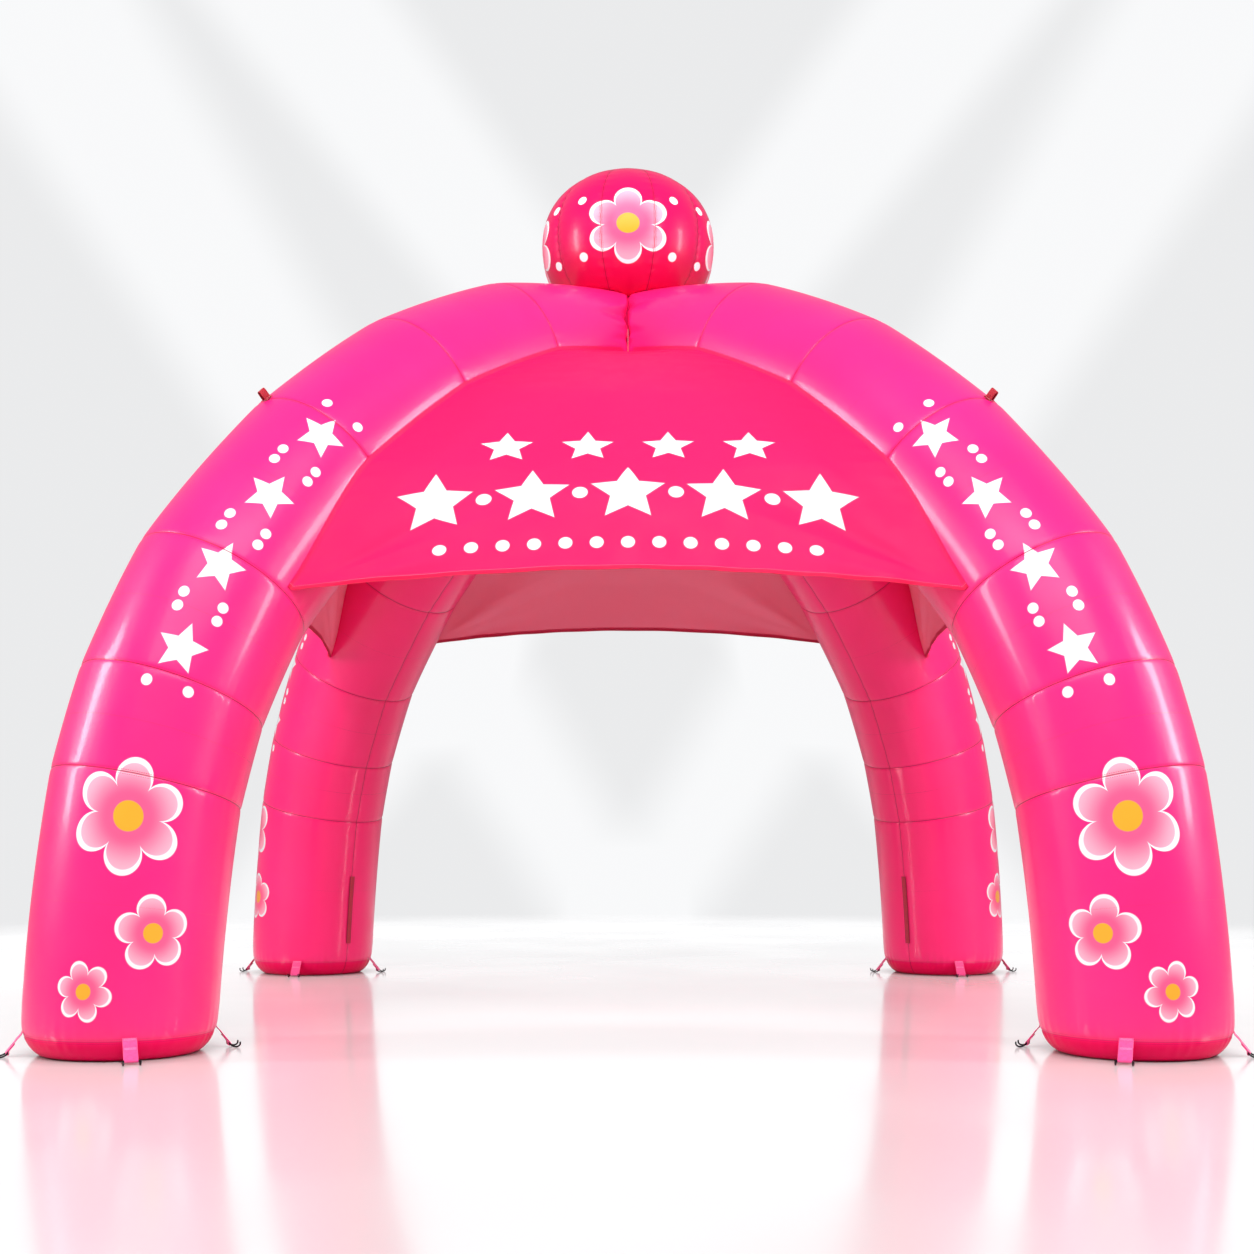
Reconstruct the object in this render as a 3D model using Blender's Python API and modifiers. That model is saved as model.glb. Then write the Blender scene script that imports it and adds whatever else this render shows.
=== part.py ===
"""Four-legged inflatable arch tent.

Four blown-up tube legs rise in the two diagonal planes of a square and meet
at a mitred crown. A gored ball sits on the crown, four thin roof panels fill
the spaces between the legs, and each foot has four webbing straps that end in
steel wire hooks. The row origin is the middle of the square on the ground,
with +Z up and the front at -Y. Lengths are in metres, angles in degrees.
"""
import math

import bmesh
import bpy
import numpy as np
from mathutils import Matrix, Vector

TENT = "inflatable_arch_tent"

# Plan of the tent
LEG_SPACING = 4.20
FOOT_DISTANCE = LEG_SPACING / math.sqrt(2)
FRONT_LEFT_AZIMUTH = 225
FRONT_RIGHT_AZIMUTH = 315
LEGS = (
    # name, azimuth of the leg's plane, turn of its straps
    ("front_left", FRONT_LEFT_AZIMUTH, 22),
    ("front_right", FRONT_RIGHT_AZIMUTH, -22),
    ("rear_right", 45, 4),
    ("rear_left", 135, -4),
)

# Tube legs: each row is a sewn ring between two blown-up sections
TUBE_RADIUS = 0.392
TUBE_SIDES = 20
SEAMS = (
    # name, distance from the tent's axis, height
    ("base", FOOT_DISTANCE, 0.085),
    ("knee", 2.850, 1.085),
    ("above_knee", 2.732, 1.475),
    ("eaves", 2.492, 1.960),
    ("shoulder", 1.995, 2.550),
    ("haunch", 1.452, 2.986),
    ("collar", 0.868, 3.269),
    ("crown", 0.0, 3.405),
)
CHORD_SHARE = 0.5
SEAM_PINCH = 0.006
SEAM_SHOULDER = 0.035
SECTION_BULGE = 0.002
MITRE_PINCH = 0.014
MITRE_SHOULDER = 0.060
MITRE_GAP = 0.0002
HALVINGS = 50
SHARP_ANGLE = 40.0
BOWL = (
    # radius, height of each ring of the rounded foot, from the ground up
    (0.300, 0.000),
    (0.322, 0.0065),
    (0.343, 0.023),
    (0.362, 0.048),
    (0.378, 0.085),
    (0.388, 0.130),
    (TUBE_RADIUS, 0.210),
)

# Roof panels
SHEET_THICKNESS = 0.003
SHEET_CLEARANCE = 0.0045
FLANK_AT_TOP = 88.0
FLANK_CHANGE_LENGTH = 0.75
PANEL_TOP = 4.52
PANEL_SAG = 0.022
SLOPE_STEP = 0.05
PANEL_COLUMNS = 16
PANEL_ROWS = 10
FOLD_HEIGHT = 0.007
FOLD_WAVES = 7.0
FOLD_REACH = 1.1
FOLD_START = 0.3
FOLD_EDGE_SHARE = 1 / 6
PANELS = (
    # name, turn, rise of the hem, then for its left and its right leg:
    # hem corner along the leg, angle of that corner from the leg's belly
    ("roof_front", 0, 0.17, (2.07, 76.0), (2.07, 76.0)),
    ("roof_right", 90, 0.15, (2.07, 76.0), (2.22, 66.0)),
    ("roof_rear", 180, 0.13, (2.36, 76.0), (2.36, 76.0)),
    ("roof_left", 270, 0.15, (2.22, 66.0), (2.07, 76.0)),
)

# Ball on the crown
BALL_RADIUS = 0.467
BALL_HALF_HEIGHT = 0.400
BALL_CENTRE_HEIGHT = 4.055
BALL_GORES = 10
BALL_SIDES = 2 * BALL_GORES
BALL_RINGS = 12
GORE_PINCH = 0.022
BALL_SQUARENESS = 2.15
SEAT_GAP = 0.0010
SEAT_STEP = 0.12

# Anchor straps and their hooks, seen in the plane through the foot's axis
STRAPS_PER_FOOT = 4
WEBBING_WIDTH = 0.056
WEBBING_THICKNESS = 0.003
WIRE_RADIUS = 0.0035
HOOK_ARM_OFFSET = 0.0325
BAR_DISTANCE = 0.4395
BAR_HEIGHT = 0.0165
LOOP_RADIUS = 0.0062
LOOP_TURN = 50.0
LOOP_STEPS = 4
LAYER_PITCH = 0.0037
STITCHED_LENGTHS = (0.030, 0.046)
STRAP_ROUTE = (
    # distance from the foot's axis, height, down to where the loop starts
    (0.3842, 0.100),
    (0.3854, 0.093),
    (0.3935, 0.083),
    (0.4035, 0.072),
    (0.4165, 0.0545),
)
HOOK_ARM = (
    # distance from the foot's axis, height, out to the turned-up tip
    (0.4475, 0.0105),
    (0.4580, 0.0052),
    (0.4680, 0.0040),
    (0.4770, 0.0068),
    (0.4825, 0.0135),
    (0.4830, 0.0215),
)

# Guy tab on the back of each leg at the shoulder seam
TAB_AT = 2.815
TAB_WIDTH = 0.036
TAB_LIFT = 0.0028
TAB_ROUTE = (
    # distance across the leg, height above its back, one half of the loop
    (0.0250, 0.0000),
    (0.0120, 0.0008),
    (0.0095, 0.0070),
    (0.0085, 0.0340),
    (0.0045, 0.0430),
)

# Flap over the zip slit on the inner side of each leg
FLAP_FROM = 0.22
FLAP_TO = 0.70
KNEE_HEIGHT = SEAMS[1][2]
FLAP_WIDTH = 0.030
FLAP_THICKNESS = 0.0025
FLAP_GAP = 0.0006

# Colours: base colour, roughness, metallic value
FINISHES = {
    "coated_cloth": ((1.0, 0.08, 0.32), 0.38, 0.0),
    "roof_cloth": ((1.0, 0.07, 0.27), 0.60, 0.0),
    "ball_cloth": ((0.93, 0.03, 0.20), 0.36, 0.0),
    "webbing": ((0.95, 0.06, 0.26), 0.70, 0.0),
    "tab_webbing": ((0.50, 0.0, 0.03), 0.70, 0.0),
    "flap_cloth": ((0.36, 0.0, 0.03), 0.60, 0.0),
    "hook_steel": ((0.03, 0.03, 0.03), 0.35, 0.9),
}


def clear_scene():
    """Remove every object of the open scene."""
    for obj in list(bpy.data.objects):
        bpy.data.objects.remove(obj, do_unlink=True)


def new_collection(name):
    collection = bpy.data.collections.new(name)
    bpy.context.scene.collection.children.link(collection)
    return collection


def make_material(name, finish):
    """Give one piece its own Principled material."""
    colour, roughness, metallic = FINISHES[finish]
    material = bpy.data.materials.new(name)
    material.use_nodes = True
    shader = material.node_tree.nodes["Principled BSDF"]
    shader.inputs["Base Color"].default_value = (*colour, 1.0)
    shader.inputs["Roughness"].default_value = roughness
    shader.inputs["Metallic"].default_value = metallic
    return material


def add_piece(name, mesh, finish, collection, parent=None, matrix=None):
    """Place one named piece, with a material slot of its own."""
    if not mesh.materials:
        mesh.materials.append(None)
    piece = bpy.data.objects.new(name, mesh)
    collection.objects.link(piece)
    piece.parent = parent
    if matrix is not None:
        piece.matrix_local = matrix
    piece.material_slots[0].link = "OBJECT"
    piece.material_slots[0].material = make_material(name, finish)
    return piece


def add_empty(name, location, azimuth, collection):
    """An empty that carries the pieces of one leg or foot."""
    empty = bpy.data.objects.new(name, None)
    empty.location = location
    empty.rotation_euler = (0.0, 0.0, math.radians(azimuth))
    collection.objects.link(empty)
    return empty


def smooth_step(value):
    value = min(max(value, 0.0), 1.0)
    return value * value * (3.0 - 2.0 * value)


def bow(share):
    """Parabola that is 0 at both ends of a span and 1 in its middle."""
    return 4.0 * share * (1.0 - share)


class ArchLine:
    """Middle line of a leg in its own plane: X outward, Z up.

    It runs through the rows of SEAMS by distance along the line. Between two
    seams it lies partly on the straight chord, because each section of the
    tube is cut as a short cylinder.
    """

    def __init__(self):
        self.points = np.array([(row[1], row[2]) for row in SEAMS])
        steps = np.linalg.norm(np.diff(self.points, axis=0), axis=1)
        self.at = SEAMS[0][2] + np.concatenate([[0.0], np.cumsum(steps)])
        self.slopes = np.zeros_like(self.points)
        for i in range(1, len(self.points) - 1):
            before = (self.points[i] - self.points[i - 1]) / steps[i - 1]
            after = (self.points[i + 1] - self.points[i]) / steps[i]
            share = steps[i] / (steps[i - 1] + steps[i])
            self.slopes[i] = before * share + after * (1.0 - share)
        self.slopes[0] = (0.0, 1.0)
        self.slopes[-1] = (-1.0, 0.0)

    def frame(self, along):
        """Middle point and outward normal at a distance along the line."""
        if along <= self.at[0]:
            return np.array([FOOT_DISTANCE, along]), np.array([1.0, 0.0])
        i = int(np.searchsorted(self.at, along, side="left")) - 1
        i = min(max(i, 0), len(self.at) - 2)
        length = self.at[i + 1] - self.at[i]
        t = (along - self.at[i]) / length
        start, end = self.points[i], self.points[i + 1]
        pull_start = self.slopes[i] * length
        pull_end = self.slopes[i + 1] * length
        smooth = (
            (2 * t**3 - 3 * t**2 + 1) * start
            + (t**3 - 2 * t**2 + t) * pull_start
            + (3 * t**2 - 2 * t**3) * end
            + (t**3 - t**2) * pull_end
        )
        tangent = (
            (6 * t**2 - 6 * t) * start
            + (3 * t**2 - 4 * t + 1) * pull_start
            + (6 * t - 6 * t**2) * end
            + (3 * t**2 - 2 * t) * pull_end
        )
        tangent = tangent / np.linalg.norm(tangent)
        chord = start + (end - start) * t
        middle = smooth * (1.0 - CHORD_SHARE) + chord * CHORD_SHARE
        return middle, np.array([tangent[1], -tangent[0]])

    def skin(self, along, angle, radius):
        """Point at an angle around the tube, 0 on its back, 180 on its belly."""
        middle, outward = self.frame(along)
        back = radius * math.cos(math.radians(angle))
        side = radius * math.sin(math.radians(angle))
        return Vector(
            (middle[0] + outward[0] * back, side, middle[1] + outward[1] * back)
        )

    def mitre_at(self, angle, radius):
        """Distance along the line where this side of the tube meets the mitre."""
        low, high = self.at[-2], self.at[-1]
        for _ in range(HALVINGS):
            between = (low + high) / 2
            point = self.skin(between, angle, radius)
            if point.x - abs(point.y) > MITRE_GAP * math.sqrt(2):
                low = between
            else:
                high = between
        return low


def ring_angles():
    return [360.0 * i / TUBE_SIDES for i in range(TUBE_SIDES)]


def loft(rings):
    """Join rings of points with quads and return the open bmesh."""
    bm = bmesh.new()
    loops = [[bm.verts.new(point) for point in ring] for ring in rings]
    for lower, upper in zip(loops, loops[1:]):
        count = len(lower)
        for i in range(count):
            j = (i + 1) % count
            bm.faces.new((lower[i], lower[j], upper[j], upper[i]))
    return bm, loops


def finish_bmesh(bm, name):
    """Point the faces out, shade the piece smooth and return its mesh."""
    bmesh.ops.recalc_face_normals(bm, faces=bm.faces)
    mesh = bpy.data.meshes.new(name)
    bm.to_mesh(mesh)
    bm.free()
    mesh.shade_smooth()
    mesh.set_sharp_from_angle(angle=math.radians(SHARP_ANGLE))
    return mesh


def leg_rings(arch):
    """Rings of one leg, from the flat under its foot to the crown mitre."""
    angles = ring_angles()
    rings = [
        [arch.skin(height, angle, radius) for angle in angles]
        for radius, height in BOWL
    ]
    for i in range(1, len(SEAMS)):
        start, end = arch.at[i - 1], arch.at[i]
        is_crown = i == len(SEAMS) - 1
        if i > 1:
            rings.append([arch.skin(start + SEAM_SHOULDER, a, TUBE_RADIUS) for a in angles])
        if is_crown:
            break
        bulged = TUBE_RADIUS + SECTION_BULGE
        pinched = TUBE_RADIUS - SEAM_PINCH
        rings.append([arch.skin((start + end) / 2, a, bulged) for a in angles])
        rings.append([arch.skin(end - SEAM_SHOULDER, a, TUBE_RADIUS) for a in angles])
        rings.append([arch.skin(end, a, pinched) for a in angles])
    mitre_radius = TUBE_RADIUS - MITRE_PINCH
    mitres = [arch.mitre_at(a, mitre_radius) for a in angles]
    first = arch.at[-2] + SEAM_SHOULDER
    for share in (0.5, 1.0):
        ring = []
        for angle, mitre in zip(angles, mitres):
            along = first + (mitre - MITRE_SHOULDER - first) * share
            ring.append(arch.skin(along, angle, TUBE_RADIUS))
        rings.append(ring)
    rings.append([arch.skin(m, a, mitre_radius) for a, m in zip(angles, mitres)])
    return rings


def leg_mesh(rings):
    """One leg: a flat-bottomed, arched tube with a two-faced mitre on top."""
    bm, loops = loft(rings)
    bm.faces.new(loops[0])
    top = loops[-1]
    half = TUBE_SIDES // 2
    bm.faces.new(top[: half + 1])
    bm.faces.new([top[0]] + top[: half - 1 : -1])
    return finish_bmesh(bm, "leg")


def crown_cutter_mesh(arch):
    """Both legs of one diagonal across the crown, a little fatter than they are."""
    radius = TUBE_RADIUS + SEAT_GAP
    angles = ring_angles()
    steps = round((arch.at[-1] - arch.at[-2]) / SEAT_STEP)
    stations = [
        arch.at[-1] - (arch.at[-1] - arch.at[-2]) * i / steps
        for i in range(steps, -1, -1)
    ]
    near = [[arch.skin(along, a, radius) for a in angles] for along in stations]
    far = [
        [Vector((-point.x, point.y, point.z)) for point in ring]
        for ring in reversed(near[:-1])
    ]
    bm, loops = loft(near + far)
    bm.faces.new(loops[0])
    bm.faces.new(loops[-1])
    return finish_bmesh(bm, "crown_cutter")


def ball_mesh():
    """Flattened ball of sewn gores, drawn in along each gore seam."""
    bm = bmesh.new()
    bmesh.ops.create_uvsphere(
        bm, u_segments=BALL_SIDES, v_segments=BALL_RINGS, radius=1.0
    )
    for vert in bm.verts:
        flat = math.hypot(vert.co.x, vert.co.y)
        squared = (flat**BALL_SQUARENESS + abs(vert.co.z) ** BALL_SQUARENESS) ** (
            1.0 / BALL_SQUARENESS
        )
        azimuth = math.degrees(math.atan2(vert.co.y, vert.co.x))
        at_seam = math.cos(math.radians(azimuth * BALL_GORES)) > 0.0
        pinch = 1.0 - GORE_PINCH * flat if at_seam else 1.0
        vert.co.x *= BALL_RADIUS * pinch / squared
        vert.co.y *= BALL_RADIUS * pinch / squared
        vert.co.z *= BALL_HALF_HEIGHT / squared
    return finish_bmesh(bm, "top_ball")


def add_ball(arch, collection, cutters):
    """The ball, seated in the crown that it rests on."""
    place = Matrix.Translation((0.0, 0.0, BALL_CENTRE_HEIGHT))
    ball = add_piece("top_ball", ball_mesh(), "ball_cloth", collection, matrix=place)
    for azimuth in (45, 135):
        cutter = bpy.data.objects.new(f"crown_cutter_{azimuth}", crown_cutter_mesh(arch))
        cutter.rotation_euler = (0.0, 0.0, math.radians(azimuth))
        cutter.hide_render = True
        cutter.display_type = "WIRE"
        cutters.objects.link(cutter)
        seat = ball.modifiers.new(f"seat_{azimuth}", "BOOLEAN")
        seat.operation = "DIFFERENCE"
        seat.object = cutter
    return ball


def flank_point(arch, along, corner, azimuth, side):
    """Edge of a panel on one leg, in the frame of the front panel.

    The seam creeps from its angle at the hem corner to the tube's widest
    line, where it stays up to the crown.
    """
    corner_along, corner_angle = corner
    share = smooth_step((along - corner_along) / FLANK_CHANGE_LENGTH)
    from_belly = corner_angle + (FLANK_AT_TOP - corner_angle) * share
    angle = side * (180.0 - from_belly)
    point = arch.skin(along, angle, TUBE_RADIUS + SHEET_CLEARANCE)
    return Matrix.Rotation(math.radians(azimuth), 3, "Z") @ point


def corner_folds(across, up, width):
    """Height of the soft folds that fan out from both hem corners."""
    height = 0.0
    for sideways in (across, 1.0 - across):
        reach = math.hypot(sideways * width, up)
        spread = math.atan2(up, sideways * width)
        fade = math.exp(-((reach / FOLD_REACH) ** 2)) * smooth_step(reach / FOLD_START)
        edge = smooth_step(sideways / FOLD_EDGE_SHARE)
        height += FOLD_HEIGHT * math.sin(FOLD_WAVES * spread) * fade * edge
    return height


def panel_edges(arch, along, left, right, lag_left=0.0, lag_right=0.0):
    """Left and right edge points of the front panel, level along both legs."""
    start = flank_point(arch, along + lag_left, left, FRONT_LEFT_AZIMUTH, 1)
    end = flank_point(arch, along + lag_right, right, FRONT_RIGHT_AZIMUTH, -1)
    return start, end


def panel_point(arch, across, up_share, rise, left, right):
    """Point of the front panel: across from 0 to 1, up from its hem to its top."""
    corner = left[0] + (right[0] - left[0]) * across
    hem = corner + rise * bow(across)
    along = hem + (PANEL_TOP - hem) * up_share
    lag_left = (left[0] - corner) * (1.0 - up_share)
    lag_right = (right[0] - corner) * (1.0 - up_share)
    start, end = panel_edges(arch, along, left, right, lag_left, lag_right)
    above = panel_edges(arch, along + SLOPE_STEP, left, right, lag_left, lag_right)
    below = panel_edges(arch, along - SLOPE_STEP, left, right, lag_left, lag_right)
    span = end - start
    climb = above[0] + above[1] - below[0] - below[1]
    outward = span.cross(climb).normalized()
    sag = PANEL_SAG * span.length * bow(across)
    folds = corner_folds(across, along - hem, span.length)
    return start + span * across + outward * (folds - sag)


def panel_mesh(arch, name, rise, left, right):
    """Open middle surface of one roof panel, from its hem to its top."""
    bm = bmesh.new()
    rows = []
    for i in range(PANEL_ROWS + 1):
        row = []
        for j in range(PANEL_COLUMNS + 1):
            across = j / PANEL_COLUMNS
            point = panel_point(arch, across, i / PANEL_ROWS, rise, left, right)
            row.append(bm.verts.new(point))
        rows.append(row)
    for lower, upper in zip(rows, rows[1:]):
        for j in range(PANEL_COLUMNS):
            bm.faces.new((lower[j], lower[j + 1], upper[j + 1], upper[j]))
    mesh = bpy.data.meshes.new(name)
    bm.to_mesh(mesh)
    bm.free()
    mesh.shade_smooth()
    return mesh


def thicken(piece, thickness, even=True):
    """Give an open surface its thickness, half to each side."""
    solidify = piece.modifiers.new("thickness", "SOLIDIFY")
    solidify.thickness = thickness
    solidify.offset = 0.0
    solidify.use_even_offset = even


def ribbon_mesh(name, route, width):
    """Open strip of webbing: a route in the X-Z plane, wide along Y."""
    bm = bmesh.new()
    edges = []
    for x, z in route:
        left = bm.verts.new((x, -width / 2, z))
        right = bm.verts.new((x, width / 2, z))
        edges.append((left, right))
    for (left, right), (next_left, next_right) in zip(edges, edges[1:]):
        bm.faces.new((left, right, next_right, next_left))
    mesh = bpy.data.meshes.new(name)
    bm.to_mesh(mesh)
    bm.free()
    mesh.shade_smooth()
    mesh.set_sharp_from_angle(angle=math.radians(SHARP_ANGLE))
    return mesh


def strap_route():
    """Strap from its seam, round the hook's bar and back under itself."""
    turn = math.radians(LOOP_TURN)
    down = np.array([math.cos(turn), -math.sin(turn)])
    above = np.array([math.sin(turn), math.cos(turn)])
    bar = np.array([BAR_DISTANCE, BAR_HEIGHT])
    route = list(STRAP_ROUTE)
    for i in range(LOOP_STEPS + 1):
        around = math.pi * i / LOOP_STEPS
        offset = above * math.cos(around) + down * math.sin(around)
        route.append(tuple(bar + LOOP_RADIUS * offset))
    lap = bar + LOOP_RADIUS * above - LAYER_PITCH * above
    for length in STITCHED_LENGTHS:
        route.append(tuple(lap - down * length))
    return route


def hook_curve():
    """Bent steel wire: tip, arm, bar, arm, tip."""
    bar_end = (BAR_DISTANCE, BAR_HEIGHT)
    half = [bar_end, *HOOK_ARM]
    points = [(x, -HOOK_ARM_OFFSET, z) for x, z in reversed(half)]
    points += [(x, HOOK_ARM_OFFSET, z) for x, z in half]
    curve = bpy.data.curves.new("hook", "CURVE")
    curve.dimensions = "3D"
    curve.bevel_depth = WIRE_RADIUS
    curve.bevel_resolution = 1
    curve.use_fill_caps = True
    spline = curve.splines.new("POLY")
    spline.points.add(len(points) - 1)
    for spline_point, point in zip(spline.points, points):
        spline_point.co = (*point, 1.0)
    return curve


def add_foot(name, azimuth, turn, strap, hook, collection):
    """Straps and hooks around one foot, all parented to an empty under it."""
    angle = math.radians(azimuth)
    centre = (FOOT_DISTANCE * math.cos(angle), FOOT_DISTANCE * math.sin(angle), 0.0)
    foot = add_empty(f"foot_{name}", centre, 0.0, collection)
    for i in range(STRAPS_PER_FOOT):
        heading = 360.0 * i / STRAPS_PER_FOOT + turn
        place = Matrix.Rotation(math.radians(heading), 4, "Z")
        piece = add_piece(f"strap_{name}_{i + 1}", strap, "webbing", collection, foot, place)
        thicken(piece, WEBBING_THICKNESS)
        add_piece(f"hook_{name}_{i + 1}", hook, "hook_steel", collection, foot, place)


def tab_route():
    """Whole guy tab: one half of its loop, then the other half mirrored."""
    first = [(-x, z) for x, z in TAB_ROUTE]
    second = [(x, z) for x, z in reversed(TAB_ROUTE)]
    return first + second


def tab_place(arch):
    """Frame of a guy tab: X across the leg, Y along it, Z out from its back."""
    middle, outward = arch.frame(TAB_AT)
    base = middle + outward * (TUBE_RADIUS + TAB_LIFT)
    out = Vector((outward[0], 0.0, outward[1]))
    across = Vector((0.0, 1.0, 0.0))
    along = out.cross(across)
    turn = Matrix((across, along, out)).transposed()
    return Matrix.Translation((base[0], 0.0, base[1])) @ turn.to_4x4()


def flap_mesh(rings):
    """Strip over the zip slit, along the belly of a leg."""
    belly = [ring[TUBE_SIDES // 2] for ring in rings]
    belly = [point for point in belly if point.z < KNEE_HEIGHT]
    heights = [point.z for point in belly]
    distances = [point.x for point in belly]
    route = [FLAP_FROM, *[z for z in heights if FLAP_FROM < z < FLAP_TO], FLAP_TO]
    lift = FLAP_THICKNESS / 2 + FLAP_GAP
    bm = bmesh.new()
    rows = []
    for height in route:
        distance = float(np.interp(height, heights, distances)) - lift
        sides = (-FLAP_WIDTH / 2, FLAP_WIDTH / 2)
        rows.append([bm.verts.new((distance, side, height)) for side in sides])
    for lower, upper in zip(rows, rows[1:]):
        bm.faces.new((lower[0], lower[1], upper[1], upper[0]))
    mesh = bpy.data.meshes.new("zip_flap")
    bm.to_mesh(mesh)
    bm.free()
    mesh.shade_smooth()
    return mesh


def main():
    clear_scene()
    pieces = new_collection(TENT)
    cutters = new_collection("cutters")
    arch = ArchLine()
    rings = leg_rings(arch)
    leg = leg_mesh(rings)
    strap = ribbon_mesh("strap", strap_route(), WEBBING_WIDTH)
    hook = hook_curve()
    tab = ribbon_mesh("guy_tab", tab_route(), TAB_WIDTH)
    flap = flap_mesh(rings)
    for name, azimuth, turn in LEGS:
        frame = add_empty(f"arch_{name}", (0.0, 0.0, 0.0), azimuth, pieces)
        add_piece(f"leg_{name}", leg, "coated_cloth", pieces, frame)
        guy_tab = add_piece(f"guy_tab_{name}", tab, "tab_webbing", pieces, frame, tab_place(arch))
        thicken(guy_tab, WEBBING_THICKNESS)
        zip_flap = add_piece(f"zip_flap_{name}", flap, "flap_cloth", pieces, frame)
        thicken(zip_flap, FLAP_THICKNESS)
        add_foot(name, azimuth, turn, strap, hook, pieces)
    add_ball(arch, pieces, cutters)
    for name, turn, rise, left, right in PANELS:
        mesh = panel_mesh(arch, name, rise, left, right)
        place = Matrix.Rotation(math.radians(turn), 4, "Z")
        panel = add_piece(name, mesh, "roof_cloth", pieces, matrix=place)
        thicken(panel, SHEET_THICKNESS, even=False)


main()
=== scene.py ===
# %% [markdown]
# # An inflatable arch tent in the studio
# The tent is four blown-up tube legs that rise on the diagonals of a square,
# meet at a mitred crown and carry a gored ball. Four thin roof panels hang
# between the legs. The packed model gives every piece its place and size, and
# this lesson gives it its cloth. All lengths are in metres, +Z is up and the
# front of the tent is at -Y.
#
# The packed model could be shown as it is, but its solids are plain on
# purpose. So each one is hidden and replaced by a finer mesh that follows the
# same measured lines, which keeps the dressed tent as big as the real one.

# %% Load the packed model
import math

import bpy
import numpy as np
from mathutils import Matrix, Vector


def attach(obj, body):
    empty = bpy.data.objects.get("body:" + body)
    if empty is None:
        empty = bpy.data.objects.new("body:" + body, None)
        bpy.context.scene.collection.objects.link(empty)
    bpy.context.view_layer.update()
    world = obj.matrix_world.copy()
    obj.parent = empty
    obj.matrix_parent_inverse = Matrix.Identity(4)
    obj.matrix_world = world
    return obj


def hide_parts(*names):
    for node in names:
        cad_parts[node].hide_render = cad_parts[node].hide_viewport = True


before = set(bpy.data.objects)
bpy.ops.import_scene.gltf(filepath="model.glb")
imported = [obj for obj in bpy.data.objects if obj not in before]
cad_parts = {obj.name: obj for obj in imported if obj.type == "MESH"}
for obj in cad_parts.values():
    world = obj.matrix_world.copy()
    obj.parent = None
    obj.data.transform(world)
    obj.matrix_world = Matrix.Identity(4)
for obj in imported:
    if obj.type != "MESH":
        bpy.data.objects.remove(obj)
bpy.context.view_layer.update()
print("packed nodes:", len(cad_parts))

# %% [markdown]
# ## The camera
# The photograph was taken square to the front from less than a metre above
# the floor, with the horizon below the middle of the picture. A tilted camera
# would make the legs lean together. So this camera stays level, and its lens
# is shifted up, as an architect's camera does it.

# %% Place the camera
CAMERA_PLACE = (0.0, -8.995, 0.876)
SENSOR_WIDTH = 36.0
FOCAL_LENGTH = 47.83
SHIFT_X = -0.0008
SHIFT_Y = 0.170

lens = bpy.data.cameras.new("camera")
lens.sensor_width = SENSOR_WIDTH
lens.lens = FOCAL_LENGTH
lens.shift_x = SHIFT_X
lens.shift_y = SHIFT_Y
camera = bpy.data.objects.new("camera", lens)
camera.location = CAMERA_PLACE
camera.rotation_euler = (math.radians(90.0), 0.0, 0.0)
bpy.context.scene.collection.objects.link(camera)
bpy.context.scene.camera = camera
bpy.context.scene.view_settings.view_transform = "Standard"
print("camera at", CAMERA_PLACE, "with a lens of", FOCAL_LENGTH, "mm")

# %% [markdown]
# ## A small kit for materials
# A finish is a graph of shader nodes. Written out node by node, even a simple
# print takes pages. So a Graph adds one node in one line, to any node tree,
# and its arithmetic reads from left to right. A Finish is a Graph that starts
# with a Principled material. A value may be a number or another node's output.

# %% A graph of shader nodes


class Graph:
    """A node tree and short calls that add nodes to it."""

    def __init__(self, tree):
        self.tree = tree

    def feed(self, socket, value):
        """Link another node's output to a socket, or set a plain value."""
        if isinstance(value, bpy.types.NodeSocket):
            self.tree.links.new(value, socket)
        elif isinstance(value, tuple) and len(value) == 3 and socket.type == "RGBA":
            socket.default_value = (*value, 1.0)
        else:
            socket.default_value = value

    def add(self, kind, **settings):
        """One node of any kind, with its settings."""
        node = self.tree.nodes.new(kind)
        for key, value in settings.items():
            setattr(node, key, value)
        return node

    def math(self, operation, *values):
        """One Math node; the calls below name its usual operations."""
        node = self.add("ShaderNodeMath", operation=operation)
        for socket, value in zip(node.inputs, values):
            self.feed(socket, value)
        return node.outputs[0]

    def plus(self, first, second):
        return self.math("ADD", first, second)

    def minus(self, first, second):
        return self.math("SUBTRACT", first, second)

    def times(self, first, second):
        return self.math("MULTIPLY", first, second)

    def over(self, first, second):
        return self.math("DIVIDE", first, second)

    def larger(self, first, second):
        return self.math("MAXIMUM", first, second)

    def absolute(self, value):
        return self.math("ABSOLUTE", value)

    def distance(self, x, y):
        """Length of a step of x to one side and y to the other."""
        return self.math("SQRT", self.math("MULTIPLY_ADD", x, x, self.times(y, y)))

    def fade(self, value, start, end, low=0.0, high=1.0):
        """Smooth step of a value, from low at start to high at end."""
        node = self.add("ShaderNodeMapRange", interpolation_type="SMOOTHSTEP")
        for socket, given in zip(node.inputs, (value, start, end, low, high)):
            self.feed(socket, given)
        return node.outputs[0]

    def mix(self, share, first, second):
        """Blend two colours."""
        node = self.add("ShaderNodeMix", data_type="RGBA")
        self.feed(node.inputs[0], share)
        self.feed(node.inputs[6], first)
        self.feed(node.inputs[7], second)
        return node.outputs[2]

    def split(self, vector):
        """The three numbers of a vector."""
        node = self.add("ShaderNodeSeparateXYZ")
        self.feed(node.inputs[0], vector)
        return node.outputs

    def noise(self, place, scale, detail=2.0):
        """Soft spots, about 0.3 to 0.7, that are smaller for a larger scale."""
        node = self.add("ShaderNodeTexNoise")
        self.feed(node.inputs["Vector"], place)
        node.inputs["Scale"].default_value = scale
        node.inputs["Detail"].default_value = detail
        return node.outputs["Fac"]


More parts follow.
